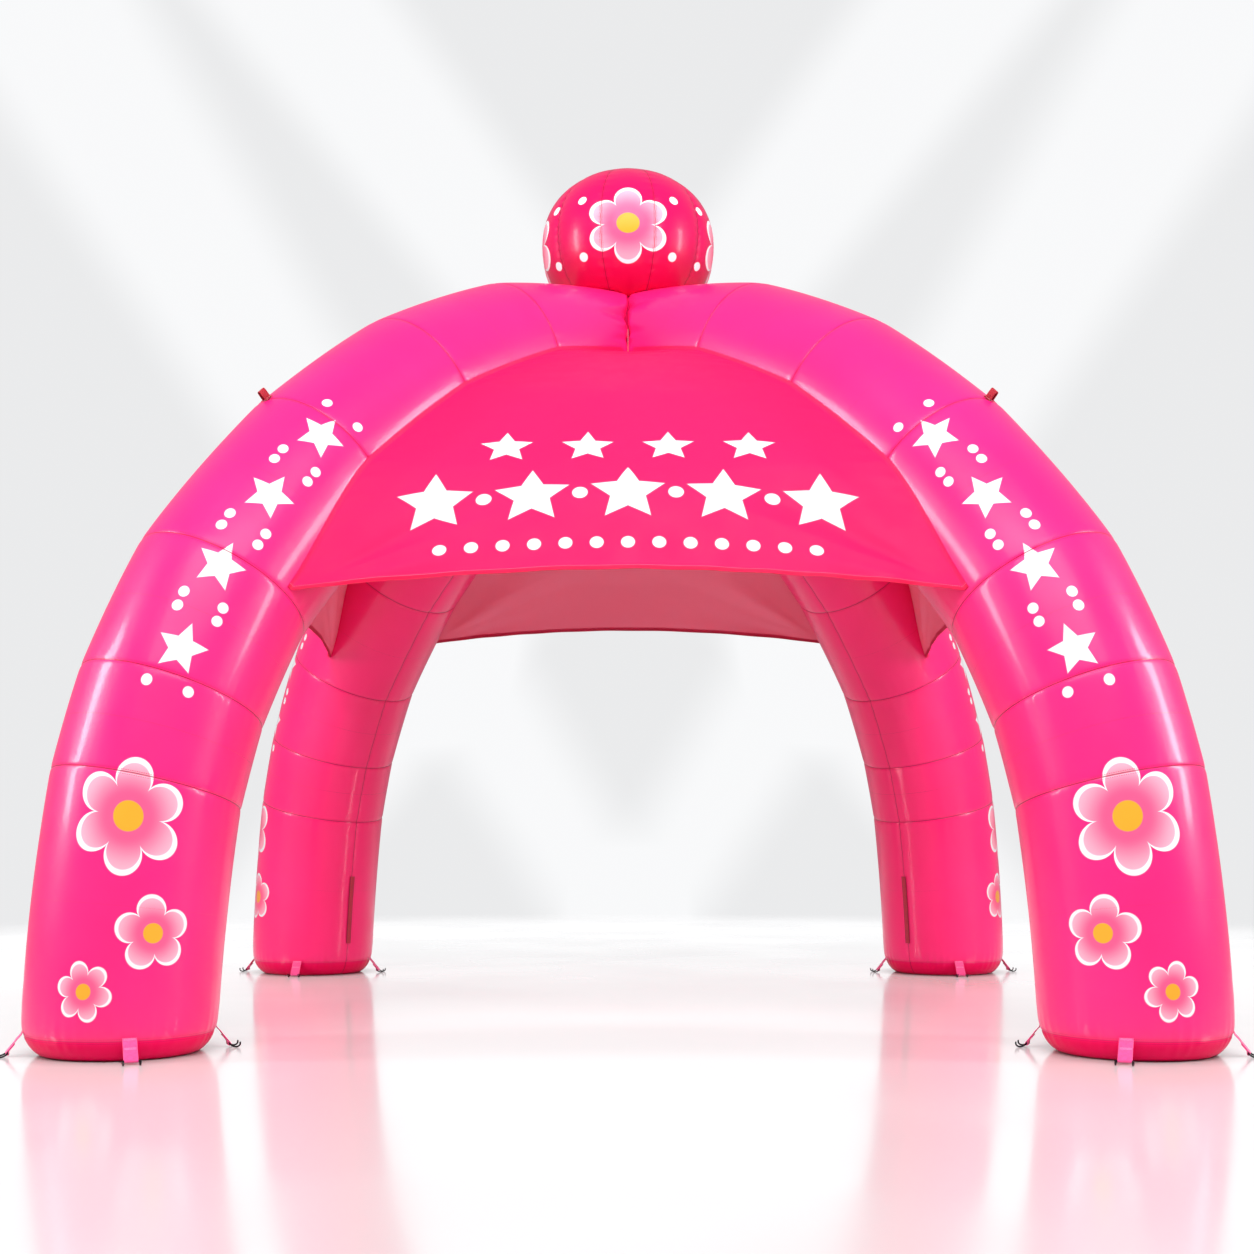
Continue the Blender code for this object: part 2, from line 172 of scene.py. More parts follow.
print("a graph has", sum(not name.startswith("_") for name in vars(Graph)), "short calls")

# %% A finish
# most of a noise's values lie in this range
NOISE_RANGE = (0.3, 0.7)
DYE_RANGE = (0.25, 0.75)
DYE_DETAIL = 4.0
# half of a stitch, as a share of the way to the next one, and its soft ends
DASH_SHARE = 0.32
DASH_BLUR = 0.04


class Finish(Graph):
    """One procedural material."""

    def __init__(self, name, roughness):
        self.material = bpy.data.materials.new(name)
        self.material.use_nodes = True
        super().__init__(self.material.node_tree)
        self.shader = self.tree.nodes["Principled BSDF"]
        self.set("Roughness", roughness)

    def set(self, socket, value):
        """Set or feed one socket of the Principled shader."""
        self.feed(self.shader.inputs[socket], value)

    def cloth_place(self):
        """The two directions on the cloth, in metres, and both as one vector."""
        place = self.add("ShaderNodeUVMap", uv_map="cloth").outputs[0]
        u, v, _ = self.split(place)
        return u, v, place

    def measure(self, name):
        """A number that the mesh carries at each point."""
        return self.add("ShaderNodeAttribute", attribute_name=name).outputs["Fac"]

    def patchy(self, place, scale, dark, light):
        """A colour that drifts between a dark and a light shade of the dye."""
        share = self.fade(self.noise(place, scale, DYE_DETAIL), *DYE_RANGE)
        return self.mix(share, dark, light)

    def dashes(self, beside, length):
        """1 on each stitch of a row, 0 between them."""
        phase = self.math("FRACT", self.over(beside, length))
        off = self.absolute(self.minus(phase, 0.5))
        return self.fade(off, DASH_SHARE - DASH_BLUR, DASH_SHARE + DASH_BLUR, 1.0, 0.0)

    def bump(self, height, distance, strength=1.0):
        """Fine relief that is too small for the mesh."""
        node = self.add("ShaderNodeBump")
        node.inputs["Strength"].default_value = strength
        node.inputs["Distance"].default_value = distance
        self.feed(node.inputs["Height"], height)
        self.set("Normal", node.outputs[0])


print("a finish adds", sum(not name.startswith("_") for name in vars(Finish)), "calls for cloth")

# %% [markdown]
# ## The studio floor
# The floor is polished and mirrors the pink legs. A Principled shader with a
# low roughness and a high index of refraction does that, also when it is seen
# from above. It glows faintly, a painted light that grows towards the back,
# because the photograph is exposed until its floor is white, and the glow is
# left out round each foot as a painted shadow. Far off it thins out with its
# alpha, so that no edge of it shows.

# %% Floor
FLOOR_HALF_WIDTH = 11.3
FLOOR_FADE = (7.5, 11.2)
FLOOR_COLOUR = (0.50, 0.497, 0.50)
FLOOR_GLOW = (0.09, 0.26)
GLOW_FROM_TO = (-6.0, 4.0)
FOOT_PLACE = 2.10
FOOT_SHADE_REACH = (0.30, 0.50)
FLOOR_IOR = 2.5
FLOOR_ROUGHNESS = (0.11, 0.19)
STUDIO_WHITE = (0.985, 0.99, 1.0)

floor_mesh = bpy.data.meshes.new("studio_floor")
w = FLOOR_HALF_WIDTH
floor_mesh.from_pydata([(-w, -w, 0.0), (w, -w, 0.0), (w, w, 0.0), (-w, w, 0.0)], [], [(0, 1, 2, 3)])
floor = bpy.data.objects.new("studio_floor", floor_mesh)
bpy.context.scene.collection.objects.link(floor)
polish = Finish("polished_floor", 0.16)
polish.set("Base Color", FLOOR_COLOUR)
floor_place = polish.add("ShaderNodeTexCoord").outputs["Object"]
polish.set("Roughness", polish.fade(polish.noise(floor_place, 0.7), *NOISE_RANGE, *FLOOR_ROUGHNESS))
polish.set("IOR", FLOOR_IOR)
x, y, _ = polish.split(floor_place)
# painted light: the floor glows, more towards the back
painted_glow = polish.fade(y, *GLOW_FROM_TO, *FLOOR_GLOW)
from_foot = polish.distance(*(polish.minus(polish.absolute(c), FOOT_PLACE) for c in (x, y)))
# painted shadow: the glow is left out round each foot
shade = polish.fade(from_foot, *FOOT_SHADE_REACH)
polish.set("Emission Color", STUDIO_WHITE)
polish.set("Emission Strength", polish.times(painted_glow, shade))
from_middle = polish.add("ShaderNodeVectorMath", operation="LENGTH")
polish.feed(from_middle.inputs[0], floor_place)
polish.set("Alpha", polish.fade(from_middle.outputs["Value"], *FLOOR_FADE, 1.0, 0.0))
floor_mesh.materials.append(polish.material)
print("floor of", 2 * FLOOR_HALF_WIDTH, "m")

# %% [markdown]
# ## The studio wall
# Behind the tent is a pale wall with slanting beams of light. A real wall
# would get in the way of the other views. So the wall and its beams are drawn
# in the world, as straight lines over the horizon. The Light Path node keeps
# apart what the camera sees of the world and the dimmer light that it gives.

# %% World
WORLD_SEEN = 0.84
WORLD_LIGHT = 0.34
NEAREST_WALL = 0.05
BEAM_LIGHT = 0.12
BEAM_SPREAD = 0.06
BEAMS = (
    # where a beam crosses the horizon, sideways lean, half width, soft edge
    (-0.038, -0.630, 0.010, 0.050),
    (0.038, 0.630, 0.010, 0.050),
    (0.190, -0.770, 0.006, 0.045),
    (-0.190, 0.770, 0.006, 0.045),
)

world = bpy.data.worlds.new("studio")
world.use_nodes = True
sky = world.node_tree.nodes["Background"]
sky.inputs["Color"].default_value = (*STUDIO_WHITE, 1.0)
wall = Graph(world.node_tree)
x, y, z = wall.split(wall.add("ShaderNodeTexCoord").outputs["Generated"])
distance = wall.larger(wall.absolute(y), NEAREST_WALL)
across, up = wall.over(x, distance), wall.over(z, distance)
lit = 0.0
for crossing, lean, half_width, soft_edge in BEAMS:
    off = wall.minus(wall.minus(across, crossing), wall.times(up, lean))
    widening = wall.times(wall.larger(up, 0.0), BEAM_SPREAD)
    off = wall.minus(wall.absolute(off), widening)
    lit = wall.plus(lit, wall.fade(off, half_width, half_width + soft_edge, 1.0, 0.0))
seen = wall.math("MULTIPLY_ADD", wall.math("MINIMUM", lit, 1.0), BEAM_LIGHT, WORLD_SEEN)
strength = wall.add("ShaderNodeMapRange")
wall.feed(strength.inputs["Value"], wall.add("ShaderNodeLightPath").outputs["Is Camera Ray"])
wall.feed(strength.inputs["To Min"], WORLD_LIGHT)
wall.feed(strength.inputs["To Max"], seen)
wall.feed(sky.inputs["Strength"], strength.outputs[0])
bpy.context.scene.world = world
print("wall with", len(BEAMS), "beams, world light", WORLD_LIGHT)

# %% [markdown]
# ## The lamps
# Blown-up tubes look round because long lamps draw streaks along them. Small
# lamps would leave hard dots, so each lamp is a wide soft box. The strong key
# over the front makes the colour. It is hidden from the gloss, where it would
# look like milk on the cloth, and the front box and the two narrow side boxes
# draw the streaks instead. Two boxes behind shine through the roof.

# %% Soft boxes
LAMPS = (
    # name, place, point that it faces, width, length, watts, seen in the cloth
    ("key", (0.0, -7.6, 8.8), (0.0, 0.0, 1.6), 9.0, 3.5, 1140.0, False),
    ("front_box", (0.0, -8.2, 7.5), (0.0, 0.0, 1.8), 9.0, 3.5, 240.0, True),
    ("left_box", (-8.4, -3.2, 4.4), (0.0, -1.0, 1.8), 1.2, 4.2, 380.0, True),
    ("right_box", (8.4, -3.2, 4.4), (0.0, -1.0, 1.8), 1.2, 4.2, 380.0, True),
    ("rear_left_box", (-6.0, 8.5, 7.5), (0.0, 0.0, 2.2), 9.0, 7.0, 175.0, False),
    ("rear_right_box", (6.0, 8.5, 7.5), (0.0, 0.0, 2.2), 9.0, 7.0, 175.0, False),
)


def soft_box(name, place, target, width, length, watts):
    """A rectangular lamp that faces a point."""
    light = bpy.data.lights.new(name, "AREA")
    light.shape = "RECTANGLE"
    light.size = width
    light.size_y = length
    light.energy = watts
    lamp = bpy.data.objects.new(name, light)
    lamp.location = place
    facing = Vector(target) - Vector(place)
    lamp.rotation_euler = facing.to_track_quat("-Z", "Y").to_euler()
    bpy.context.scene.collection.objects.link(lamp)
    return lamp


for *box, mirrored in LAMPS:
    soft_box(*box).visible_glossy = mirrored
print(len(LAMPS), "soft boxes")

# %% [markdown]
# The polished floor mirrors the white wall, and the pink legs stand out in it
# by hiding that wall. The world behind is kept dim for every reflection, or
# the tent's edges would turn white. So one wide lamp stands where the wall is
# and lights the floor alone, which is what light linking does.

# %% The wall in the floor
WALL_PLACE = (0.0, 10.8, 3.5)
WALL_FACING = (0.0, 0.0, 3.5)
WALL_SIZE = (22.0, 7.0)
WALL_WATTS = 275.0

wall_lamp = soft_box("wall_in_floor", WALL_PLACE, WALL_FACING, *WALL_SIZE, WALL_WATTS)
wall_lamp.visible_camera = False
only_floor = bpy.data.collections.new("only_floor")
only_floor.objects.link(floor)
wall_lamp.light_linking.receiver_collection = only_floor
print("wall light of", WALL_WATTS, "W for the floor alone")

# %% [markdown]
# ## The arch line
# Every leg follows one curve in its own upright plane. A maker sews the leg
# from short straight cylinders, so the curve runs through the sewn rings and
# lies halfway between a smooth bend and the straight chord in between. The
# same rows stand in the solid model, which is why the new cloth fits it.

# %% Rings of the tube
LEG_SPACING = 4.20
FOOT_DISTANCE = LEG_SPACING / math.sqrt(2)
TUBE_RADIUS = 0.392
CHORD_SHARE = 0.5
SEAM_POINTS = np.array(
    [
        # distance from the tent's axis, height: base, knee, above the knee,
        # eaves, shoulder, haunch, collar and crown
        (FOOT_DISTANCE, 0.085),
        (2.850, 1.085),
        (2.732, 1.475),
        (2.492, 1.960),
        (1.995, 2.550),
        (1.452, 2.986),
        (0.868, 3.269),
        (0.0, 3.405),
    ]
)
steps = np.linalg.norm(np.diff(SEAM_POINTS, axis=0), axis=1)
SEAM_AT = SEAM_POINTS[0, 1] + np.concatenate([[0.0], np.cumsum(steps)])
chords = np.diff(SEAM_POINTS, axis=0) / steps[:, None]
shares = (steps[1:] / (steps[:-1] + steps[1:]))[:, None]
SEAM_SLOPES = np.vstack(
    [(0.0, 1.0), chords[:-1] * shares + chords[1:] * (1.0 - shares), (-1.0, 0.0)]
)
print("sewn rings at", np.round(SEAM_AT, 3), "along the leg")

# %% Points on the tube


def arch_frame(along):
    """Middle point and outward normal at distances along the arch line."""
    along = np.asarray(along, dtype=float)
    i = np.clip(np.searchsorted(SEAM_AT, along, side="left") - 1, 0, len(SEAM_AT) - 2)
    length = (SEAM_AT[i + 1] - SEAM_AT[i])[..., None]
    t = (along - SEAM_AT[i])[..., None] / length
    start, end = SEAM_POINTS[i], SEAM_POINTS[i + 1]
    pull_start, pull_end = SEAM_SLOPES[i] * length, SEAM_SLOPES[i + 1] * length
    smooth = (
        (2 * t**3 - 3 * t**2 + 1) * start
        + (t**3 - 2 * t**2 + t) * pull_start
        + (3 * t**2 - 2 * t**3) * end
        + (t**3 - t**2) * pull_end
    )
    tangent = (
        (6 * t**2 - 6 * t) * start
        + (3 * t**2 - 4 * t + 1) * pull_start
        + (6 * t - 6 * t**2) * end
        + (3 * t**2 - 2 * t) * pull_end
    )
    tangent = tangent / np.linalg.norm(tangent, axis=-1, keepdims=True)
    middle = smooth * (1.0 - CHORD_SHARE) + (start + (end - start) * t) * CHORD_SHARE
    outward = np.stack([tangent[..., 1], -tangent[..., 0]], axis=-1)
    foot = (along <= SEAM_AT[0])[..., None]
    upright = np.stack([np.full_like(along, FOOT_DISTANCE), along], axis=-1)
    return np.where(foot, upright, middle), np.where(foot, (1.0, 0.0), outward)


def tube_point(along, angle, radius):
    """Points around the tube in the leg's frame: angle 0 is its back."""
    middle, outward = arch_frame(along)
    back = radius * np.cos(np.radians(angle))
    side = radius * np.sin(np.radians(angle))
    x = middle[..., 0] + outward[..., 0] * back
    z = middle[..., 1] + outward[..., 1] * back
    return np.stack([x, side + np.zeros_like(x), z], axis=-1)


def turned(points, azimuth):
    """Points turned about the tent's axis."""
    c, s = math.cos(math.radians(azimuth)), math.sin(math.radians(azimuth))
    turn = np.array([[c, s, 0.0], [-s, c, 0.0], [0.0, 0.0, 1.0]])
    return np.asarray(points) @ turn


print("crown at", np.round(tube_point(SEAM_AT[-1], 0.0, TUBE_RADIUS), 3))

# %% Where a leg meets its neighbours
MITRE_GAP = 0.0004
HALVINGS = 40


def mitre_distance(angle, radius):
    """Distance along the line where each side of the tube meets the mitre."""
    low = np.full_like(angle, SEAM_AT[-2])
    high = np.full_like(angle, SEAM_AT[-1])
    for _ in range(HALVINGS):
        between = (low + high) / 2
        point = tube_point(between, angle, radius)
        before = point[..., 0] - np.abs(point[..., 1]) > MITRE_GAP * math.sqrt(2)
        low = np.where(before, between, low)
        high = np.where(before, high, between)
    return low


print("mitre along the leg's back:", np.round(mitre_distance(np.zeros(1), TUBE_RADIUS), 3))

# %% [markdown]
# ## Cloth as a grid
# Sewn cloth has two natural directions, so every soft piece here is a grid of
# points. The grid also gives each point its place on the flat cloth, in
# metres, as a UV map called "cloth". Prints, stitches and weave are drawn in
# that map, so they keep their real size on every piece.

# %% Grid meshes


def grid_faces(rows, columns, closed):
    """Quads of a grid of points that are numbered row by row."""
    r, c = np.meshgrid(
        np.arange(rows - 1), np.arange(columns if closed else columns - 1), indexing="ij"
    )
    right = (c + 1) % columns
    low, high = r * columns, (r + 1) * columns
    faces = np.stack([low + c, low + right, high + right, high + c], axis=-1)
    corners = np.stack([r, c, r, c + 1, r + 1, c + 1, r + 1, c], axis=-1)
    return faces.reshape(-1, 4), corners.reshape(-1, 4, 2)


def cloth_object(name, points, faces, uvs, slots, sharp=40.0, measures=None):
    """A smooth mesh object with its cloth map, materials and measures.

    slots is a list of (material, number of faces), in the order of the faces.
    """
    mesh = bpy.data.meshes.new(name)
    mesh.from_pydata([tuple(p) for p in points], [], [tuple(f) for f in faces])
    layer = mesh.uv_layers.new(name="cloth")
    layer.data.foreach_set("uv", np.asarray(uvs, dtype=np.float32).ravel())
    indices = []
    for number, (material, count) in enumerate(slots):
        mesh.materials.append(material)
        indices += [number] * count
    mesh.polygons.foreach_set("material_index", indices)
    for key, values in (measures or {}).items():
        attribute = mesh.attributes.new(key, "FLOAT", "POINT")
        attribute.data.foreach_set("value", np.asarray(values, dtype=np.float32).ravel())
    mesh.shade_smooth()
    mesh.set_sharp_from_angle(angle=math.radians(sharp))
    mesh.validate()
    piece = bpy.data.objects.new(name, mesh)
    bpy.context.scene.collection.objects.link(piece)
    return piece


print("a grid of 3 by 4 points has", len(grid_faces(3, 4, closed=False)[0]), "faces")

# %% Smooth curves


def curve_through(points, steps):
    """A smooth route through a list of points, as a Catmull-Rom curve."""
    points = np.asarray(points, dtype=float)
    ends = np.vstack([2 * points[0] - points[1], points, 2 * points[-1] - points[-2]])
    route = []
    for before, start, end, after in zip(ends, ends[1:], ends[2:], ends[3:]):
        for t in np.arange(steps) / steps:
            route.append(
                0.5
                * (
                    2 * start
                    + (end - before) * t
                    + (2 * before - 5 * start + 4 * end - after) * t**2
                    + (3 * start - before - 3 * end + after) * t**3
                )
            )
    return np.array(route + [points[-1]])


def smooth_step(value):
    """0 below 0, 1 above 1 and a soft slope in between."""
    value = np.clip(value, 0.0, 1.0)
    return value * value * (3.0 - 2.0 * value)


print("half way up a smooth step:", smooth_step(0.5))

# %% [markdown]
# ## The print
# The pink cloth carries a cheerful print in white, pale pink and yellow. It is
# drawn by arithmetic on the cloth map: a star is one straight edge folded ten
# times, a flower is a circle whose radius swings with the angle. Pictures of
# the motifs could be loaded instead, but these stay crisp at any size.

# %% Star and flower
STAR_TIPS = 5
STAR_WAIST = 0.48
PETAL_ROUNDNESS = 0.6
PETAL_NOTCH = 0.58
# shares of a flower's size: where its rose ends and its pale pink starts, the
# petals inside their white edge, and the yellow middle
ROSE_UP_TO, PINK_FROM, PETAL_SHARE, POLLEN_SHARE = 0.35, 0.95, 0.90, 0.26
PRINT_EDGE = 0.0025
PRINT_WHITE = (0.80, 0.76, 0.78)
PETAL_PINK = (0.92, 0.36, 0.46)
PETAL_ROSE = (0.92, 0.085, 0.22)
POLLEN_YELLOW = (0.85, 0.34, 0.02)


def polar(finish, x, y):
    """Distance and angle of a place on the cloth from a motif's middle."""
    return finish.distance(x, y), finish.math("ARCTAN2", x, y)


def star_mask(finish, x, y, size):
    """1 inside a star around x = y = 0, 0 outside."""
    radius, angle = polar(finish, x, y)
    half = math.pi / STAR_TIPS
    folded = finish.absolute(finish.math("WRAP", angle, half, -half))
    across = finish.times(radius, finish.math("COSINE", folded))
    along = finish.times(radius, finish.math("SINE", folded))
    waist = (STAR_WAIST * math.cos(half) - 1.0, STAR_WAIST * math.sin(half))
    length = math.hypot(*waist)
    outside = finish.plus(
        finish.times(finish.minus(across, size), waist[1] / length),
        finish.times(along, -waist[0] / length),
    )
    return finish.fade(outside, -PRINT_EDGE, PRINT_EDGE, 1.0, 0.0)


def disc(finish, radius, size):
    """1 where a radius is less than a size, with the print's soft edge."""
    return finish.fade(radius, size - PRINT_EDGE, size + PRINT_EDGE, 1.0, 0.0)


def dot_mask(finish, x, y, size):
    """1 inside a dot around x = y = 0, 0 outside."""
    return disc(finish, finish.distance(x, y), size)


def flower(finish, colour, x, y, size, petals=6, turn=0.0):
    """Lay a flower with a yellow middle over a colour."""
    radius, angle = polar(finish, x, y)
    swing = finish.plus(finish.times(angle, petals / 2), turn)
    petal = finish.math("POWER", finish.absolute(finish.math("COSINE", swing)), PETAL_ROUNDNESS)
    reach = finish.over(radius, finish.math("MULTIPLY_ADD", petal, 1.0 - PETAL_NOTCH, PETAL_NOTCH))
    colour = finish.mix(disc(finish, reach, size), colour, PRINT_WHITE)
    pale = finish.fade(radius, size * ROSE_UP_TO, size * PINK_FROM)
    petals_colour = finish.mix(pale, PETAL_ROSE, PETAL_PINK)
    colour = finish.mix(disc(finish, reach, size * PETAL_SHARE), colour, petals_colour)
    return finish.mix(disc(finish, radius, size * POLLEN_SHARE), colour, POLLEN_YELLOW)


print("motifs: star, dot, flower")

# %% [markdown]
# ## The tube cloth
# The legs are coated polyester: a tight weave under a smooth film. The film
# gives a clear highlight over a broad soft one, which is a Principled shader
# with a coat. A dark line is painted along each seam, where two layers and a
# tape lie on each other, as painted shade in the seam's groove, and rows of
# stitches run beside each seam. Stitches could be little meshes, but there
# are thousands, so they are drawn in the material.

# %% Seams, weave and film
SEAM_LINE = 0.0034
SEAM_DARKNESS = 0.75
THREAD_FROM_SEAM = 0.0085
THREAD_WIDTH = 0.0011
STITCH_LENGTH = 0.009
WEAVE_PERIOD = 0.003
WEAVE_SHARE = 0.12
GROOVE_DEPTH = 0.0012
WEAR_SCALE = 5.0


def seam_marks(finish, colour, distance, beside, deep, thread, darkness=SEAM_DARKNESS):
    """Darken a seam line and lay a row of stitches on each side of it."""
    line = finish.fade(distance, SEAM_LINE * 0.4, SEAM_LINE, darkness, 0.0)
    colour = finish.mix(line, colour, deep)
    off = finish.absolute(finish.minus(distance, THREAD_FROM_SEAM))
    row = finish.fade(off, THREAD_WIDTH * 0.6, THREAD_WIDTH, 1.0, 0.0)
    stitches = finish.times(row, finish.dashes(beside, STITCH_LENGTH))
    return finish.mix(stitches, colour, thread), line


def weave_height(finish, u, v, period=WEAVE_PERIOD):
    """Over and under of a plain weave."""
    turn = 2.0 * math.pi / period
    return finish.times(*(finish.math("SINE", finish.times(way, turn)) for way in (u, v)))


def coated(finish, place, roughness, specular, coat, coat_roughness):
    """The broad soft highlight of the cloth and the clear one of its film."""
    worn = finish.fade(finish.noise(place, WEAR_SCALE), *NOISE_RANGE, *roughness)
    finish.set("Roughness", worn)
    finish.set("Specular IOR Level", specular)
    finish.set("Coat Weight", coat)
    finish.set("Coat Roughness", coat_roughness)


def sewn_relief(finish, u, v, groove):
    """The weave, and the groove that each seam is drawn into."""
    weave = finish.times(weave_height(finish, u, v), WEAVE_SHARE)
    finish.bump(finish.minus(weave, groove), GROOVE_DEPTH, 0.35)


print("stitches of", STITCH_LENGTH, "m beside each seam")

# %% Print of a leg
PRINT_AT = TUBE_RADIUS * math.radians(58.0)
LEG_FLOWERS = (
    # height up the leg, place beside the column, size, petals, turn
    (0.93, -0.03, 0.225, 6, 0.0),
    (0.50, 0.12, 0.150, 5, 0.4),
    (0.27, -0.13, 0.115, 6, 0.9),
)
COLUMN_STAR = 0.105
COLUMN_DOT = 0.022
DOT_BESIDE = 0.085
DOT_APART = 0.03
COLUMN_FROM = 1.42
COLUMN_TO = 2.90
COLUMN_PERIOD = 0.37


def leg_print(finish, colour, u, v):
    """A column of stars and dots over three flowers, on both sides of a leg."""
    side = finish.minus(finish.absolute(u), PRINT_AT)
    for at, off, size, petals, turn in LEG_FLOWERS:
        x = finish.minus(side, off)
        y = finish.minus(v, at)
        colour = flower(finish, colour, x, y, size, petals, turn)
    step = finish.over(finish.minus(v, COLUMN_FROM), COLUMN_PERIOD)
    place = finish.times(finish.minus(finish.math("FRACT", step), 0.5), COLUMN_PERIOD)
    above_start = finish.math("GREATER_THAN", v, COLUMN_FROM)
    inside = finish.times(above_start, finish.math("LESS_THAN", v, COLUMN_TO))
    star = star_mask(finish, side, place, COLUMN_STAR)
    beside = finish.minus(finish.absolute(side), DOT_BESIDE)
    between = finish.minus(finish.absolute(place), COLUMN_PERIOD / 2 - DOT_APART)
    dot = dot_mask(finish, beside, between, COLUMN_DOT)
    white = finish.times(inside, finish.larger(star, dot))
    return finish.mix(white, colour, PRINT_WHITE)


print("print up a leg:", round((COLUMN_TO - COLUMN_FROM) / COLUMN_PERIOD), "stars")

# %% [markdown]
# Below the base seam the foot is cut from a duller cloth that takes the wear.
# Its deeper colour is partly that cloth's own and partly painted shade, for
# the underside that faces the floor. It could be an object of its own, but it
# is sewn into the tube, so it is a second material on the lowest faces instead.

# %% Tube cloth finish
TUBE_PINK = (1.0, 0.014, 0.180)
TUBE_SHADE = (0.94, 0.009, 0.155)
TUBE_SEAM_SHADE = (0.26, 0.001, 0.030)
TUBE_THREAD = (0.62, 0.002, 0.075)
TUBE_GLOSS = (0.36, 0.27, 0.13)
TUBE_ROUGHNESS = (0.31, 0.39)
FOOT_PINK_AND_SHADE = (0.84, 0.001, 0.086)
FOOT_SHADE = (0.95, 0.007, 0.150)
FOOT_BLEND = 0.024
# the seam of the base is drawn less dark than the rings above it
RING_CHANGE_AT = (0.11, 0.13)
RING_DARKNESS = (0.25, 0.80)
HALF_GIRTH = math.pi * TUBE_RADIUS


def make_tube_cloth(name, pink, shade, printed, gloss):
    """The cloth of a leg, or of its foot; gloss scales both highlights."""
    finish = Finish(name, 0.40)
    u, v, place = finish.cloth_place()
    colour = finish.patchy(place, 1.3, shade, pink)
    if printed:
        colour = leg_print(finish, colour, u, v)
    # below the base seam: the foot's deeper pink, partly painted shade of the underside
    low = finish.fade(v, SEAM_AT[0] - FOOT_BLEND, SEAM_AT[0] + FOOT_BLEND, 1.0, 0.0)
    colour = finish.mix(low, colour, FOOT_PINK_AND_SHADE)
    darkness = finish.fade(v, *RING_CHANGE_AT, *RING_DARKNESS)
    ring = finish.absolute(finish.measure("ring_seam"))
    # painted shade: a dark line along each ring seam and along the belly seam
    colour, ring_line = seam_marks(finish, colour, ring, u, TUBE_SEAM_SHADE, TUBE_THREAD, darkness)
    belly = finish.minus(HALF_GIRTH, finish.absolute(u))
    colour, belly_line = seam_marks(finish, colour, belly, v, TUBE_SEAM_SHADE, TUBE_THREAD)
    finish.set("Base Color", colour)
    specular, coat, coat_roughness = TUBE_GLOSS
    coated(finish, place, TUBE_ROUGHNESS, specular * gloss, coat * gloss, coat_roughness)
    sewn_relief(finish, u, v, finish.larger(ring_line, belly_line))
    return finish.material


tube_cloth = make_tube_cloth("tube_cloth_pink", TUBE_PINK, TUBE_SHADE, True, 1.0)
foot_cloth = make_tube_cloth("foot_cloth_crimson", TUBE_PINK, FOOT_SHADE, False, 0.2)
print("tube cloth has", len(tube_cloth.node_tree.nodes), "nodes")

# %% [markdown]
# ## The tube legs
# Air presses each section into a cylinder, and the ring seams hold it in. The
# thread is shorter than the cloth, so the cloth gathers beside it. A cloth
# simulation could find these gathers, but it needs a point every few
# millimetres to fold so finely. Here the radius is written as a sum of what
# happens to it: a pinch at each seam, gathers that fade away from it, slow
# waves in the cloth, and the drawn-in seam along the belly.

# %% Gathers
GATHER_REACH = 0.050
GATHER_AT_SEAM = 0.015
GATHER_AT_THREAD = 0.35
# how far folds wander from even spacing, and their mean, change and least depth
WANDER = 1.6
FOLD_MEAN, FOLD_CHANGE, FOLD_LEAST = 0.55, 0.45, 0.10
CREASE_DEPTH = 1.7
CREASE_ROUNDNESS = 0.8
SLOW_WAVES = 9
SLOW_CLIMB = 9.0


def uneven_waves(angle, seed, count):
    """About count folds round a ring, uneven in spacing and depth, -1 to 1."""
    rng = np.random.default_rng(seed)
    turn = np.radians(angle)
    phase = count * turn
    depth = np.zeros_like(turn)
    for wave in range(1, 8):
        first, second = rng.uniform(0.0, 2.0 * math.pi, 2)
        phase = phase + WANDER * np.cos(wave * turn + first) / math.sqrt(wave)
        depth = depth + np.cos((wave + 2) * turn + second) / 3.0
    depth = np.clip(FOLD_MEAN + FOLD_CHANGE * depth, FOLD_LEAST, 1.0)
    ridge = 1.0 - CREASE_DEPTH * np.abs(np.sin(phase / 2.0)) ** CREASE_ROUNDNESS
    return ridge * depth


def gather_fade(distance):
    """Gathers are deepest a little way off the thread and then die out."""
    rise = (1.0 - GATHER_AT_THREAD) * smooth_step(distance / GATHER_AT_SEAM)
    return (GATHER_AT_THREAD + rise) * np.exp(-distance / GATHER_REACH)


def slow_waves(along, angle, seed):
    """Broad, shallow waves of the blown-up cloth, about -1 to 1."""
    rng = np.random.default_rng(seed)
    total = np.zeros(np.broadcast(along, angle).shape)
    for _ in range(SLOW_WAVES):
        wave, climb = rng.integers(1, 6), rng.uniform(-SLOW_CLIMB, SLOW_CLIMB)
        total = total + np.cos(wave * np.radians(angle) + climb * along + rng.uniform(0, 6.3))
    return total / 6.0


print("gathers reach", GATHER_REACH, "m from a seam")

# %% [markdown]
# The rows of the grid crowd together beside each seam, where the cloth does
# most, and spread out along the smooth middle of a section.

# %% Rows of a leg
LEG_COLUMNS = 224
NEAR_SEAM = (0.003, 0.008, 0.015, 0.024, 0.036, 0.051, 0.070, 0.095, 0.125)
MITRE_PINCH = 0.014
SECTION_STEP = 0.055
BOWL = (
    # radius and height of the rounded foot, from the ground up
    (0.300, 0.000),
    (0.322, 0.0065),
    (0.343, 0.023),
    (0.362, 0.048),
    (0.378, 0.085),
    (0.388, 0.130),
    (TUBE_RADIUS, 0.210),
)
BOWL_STEPS = 4


def section_rows(length, at_start=True):
    """Distances from the start of a section, close together near both ends."""
    near = np.array(NEAR_SEAM)
    count = max(2, round((length - 2 * near[-1]) / SECTION_STEP))
    middle = np.linspace(near[-1], length - near[-1], count + 1)[1:-1]
    start = near if at_start else near[-1:]
    return np.concatenate([start, middle, length - near[::-1]])


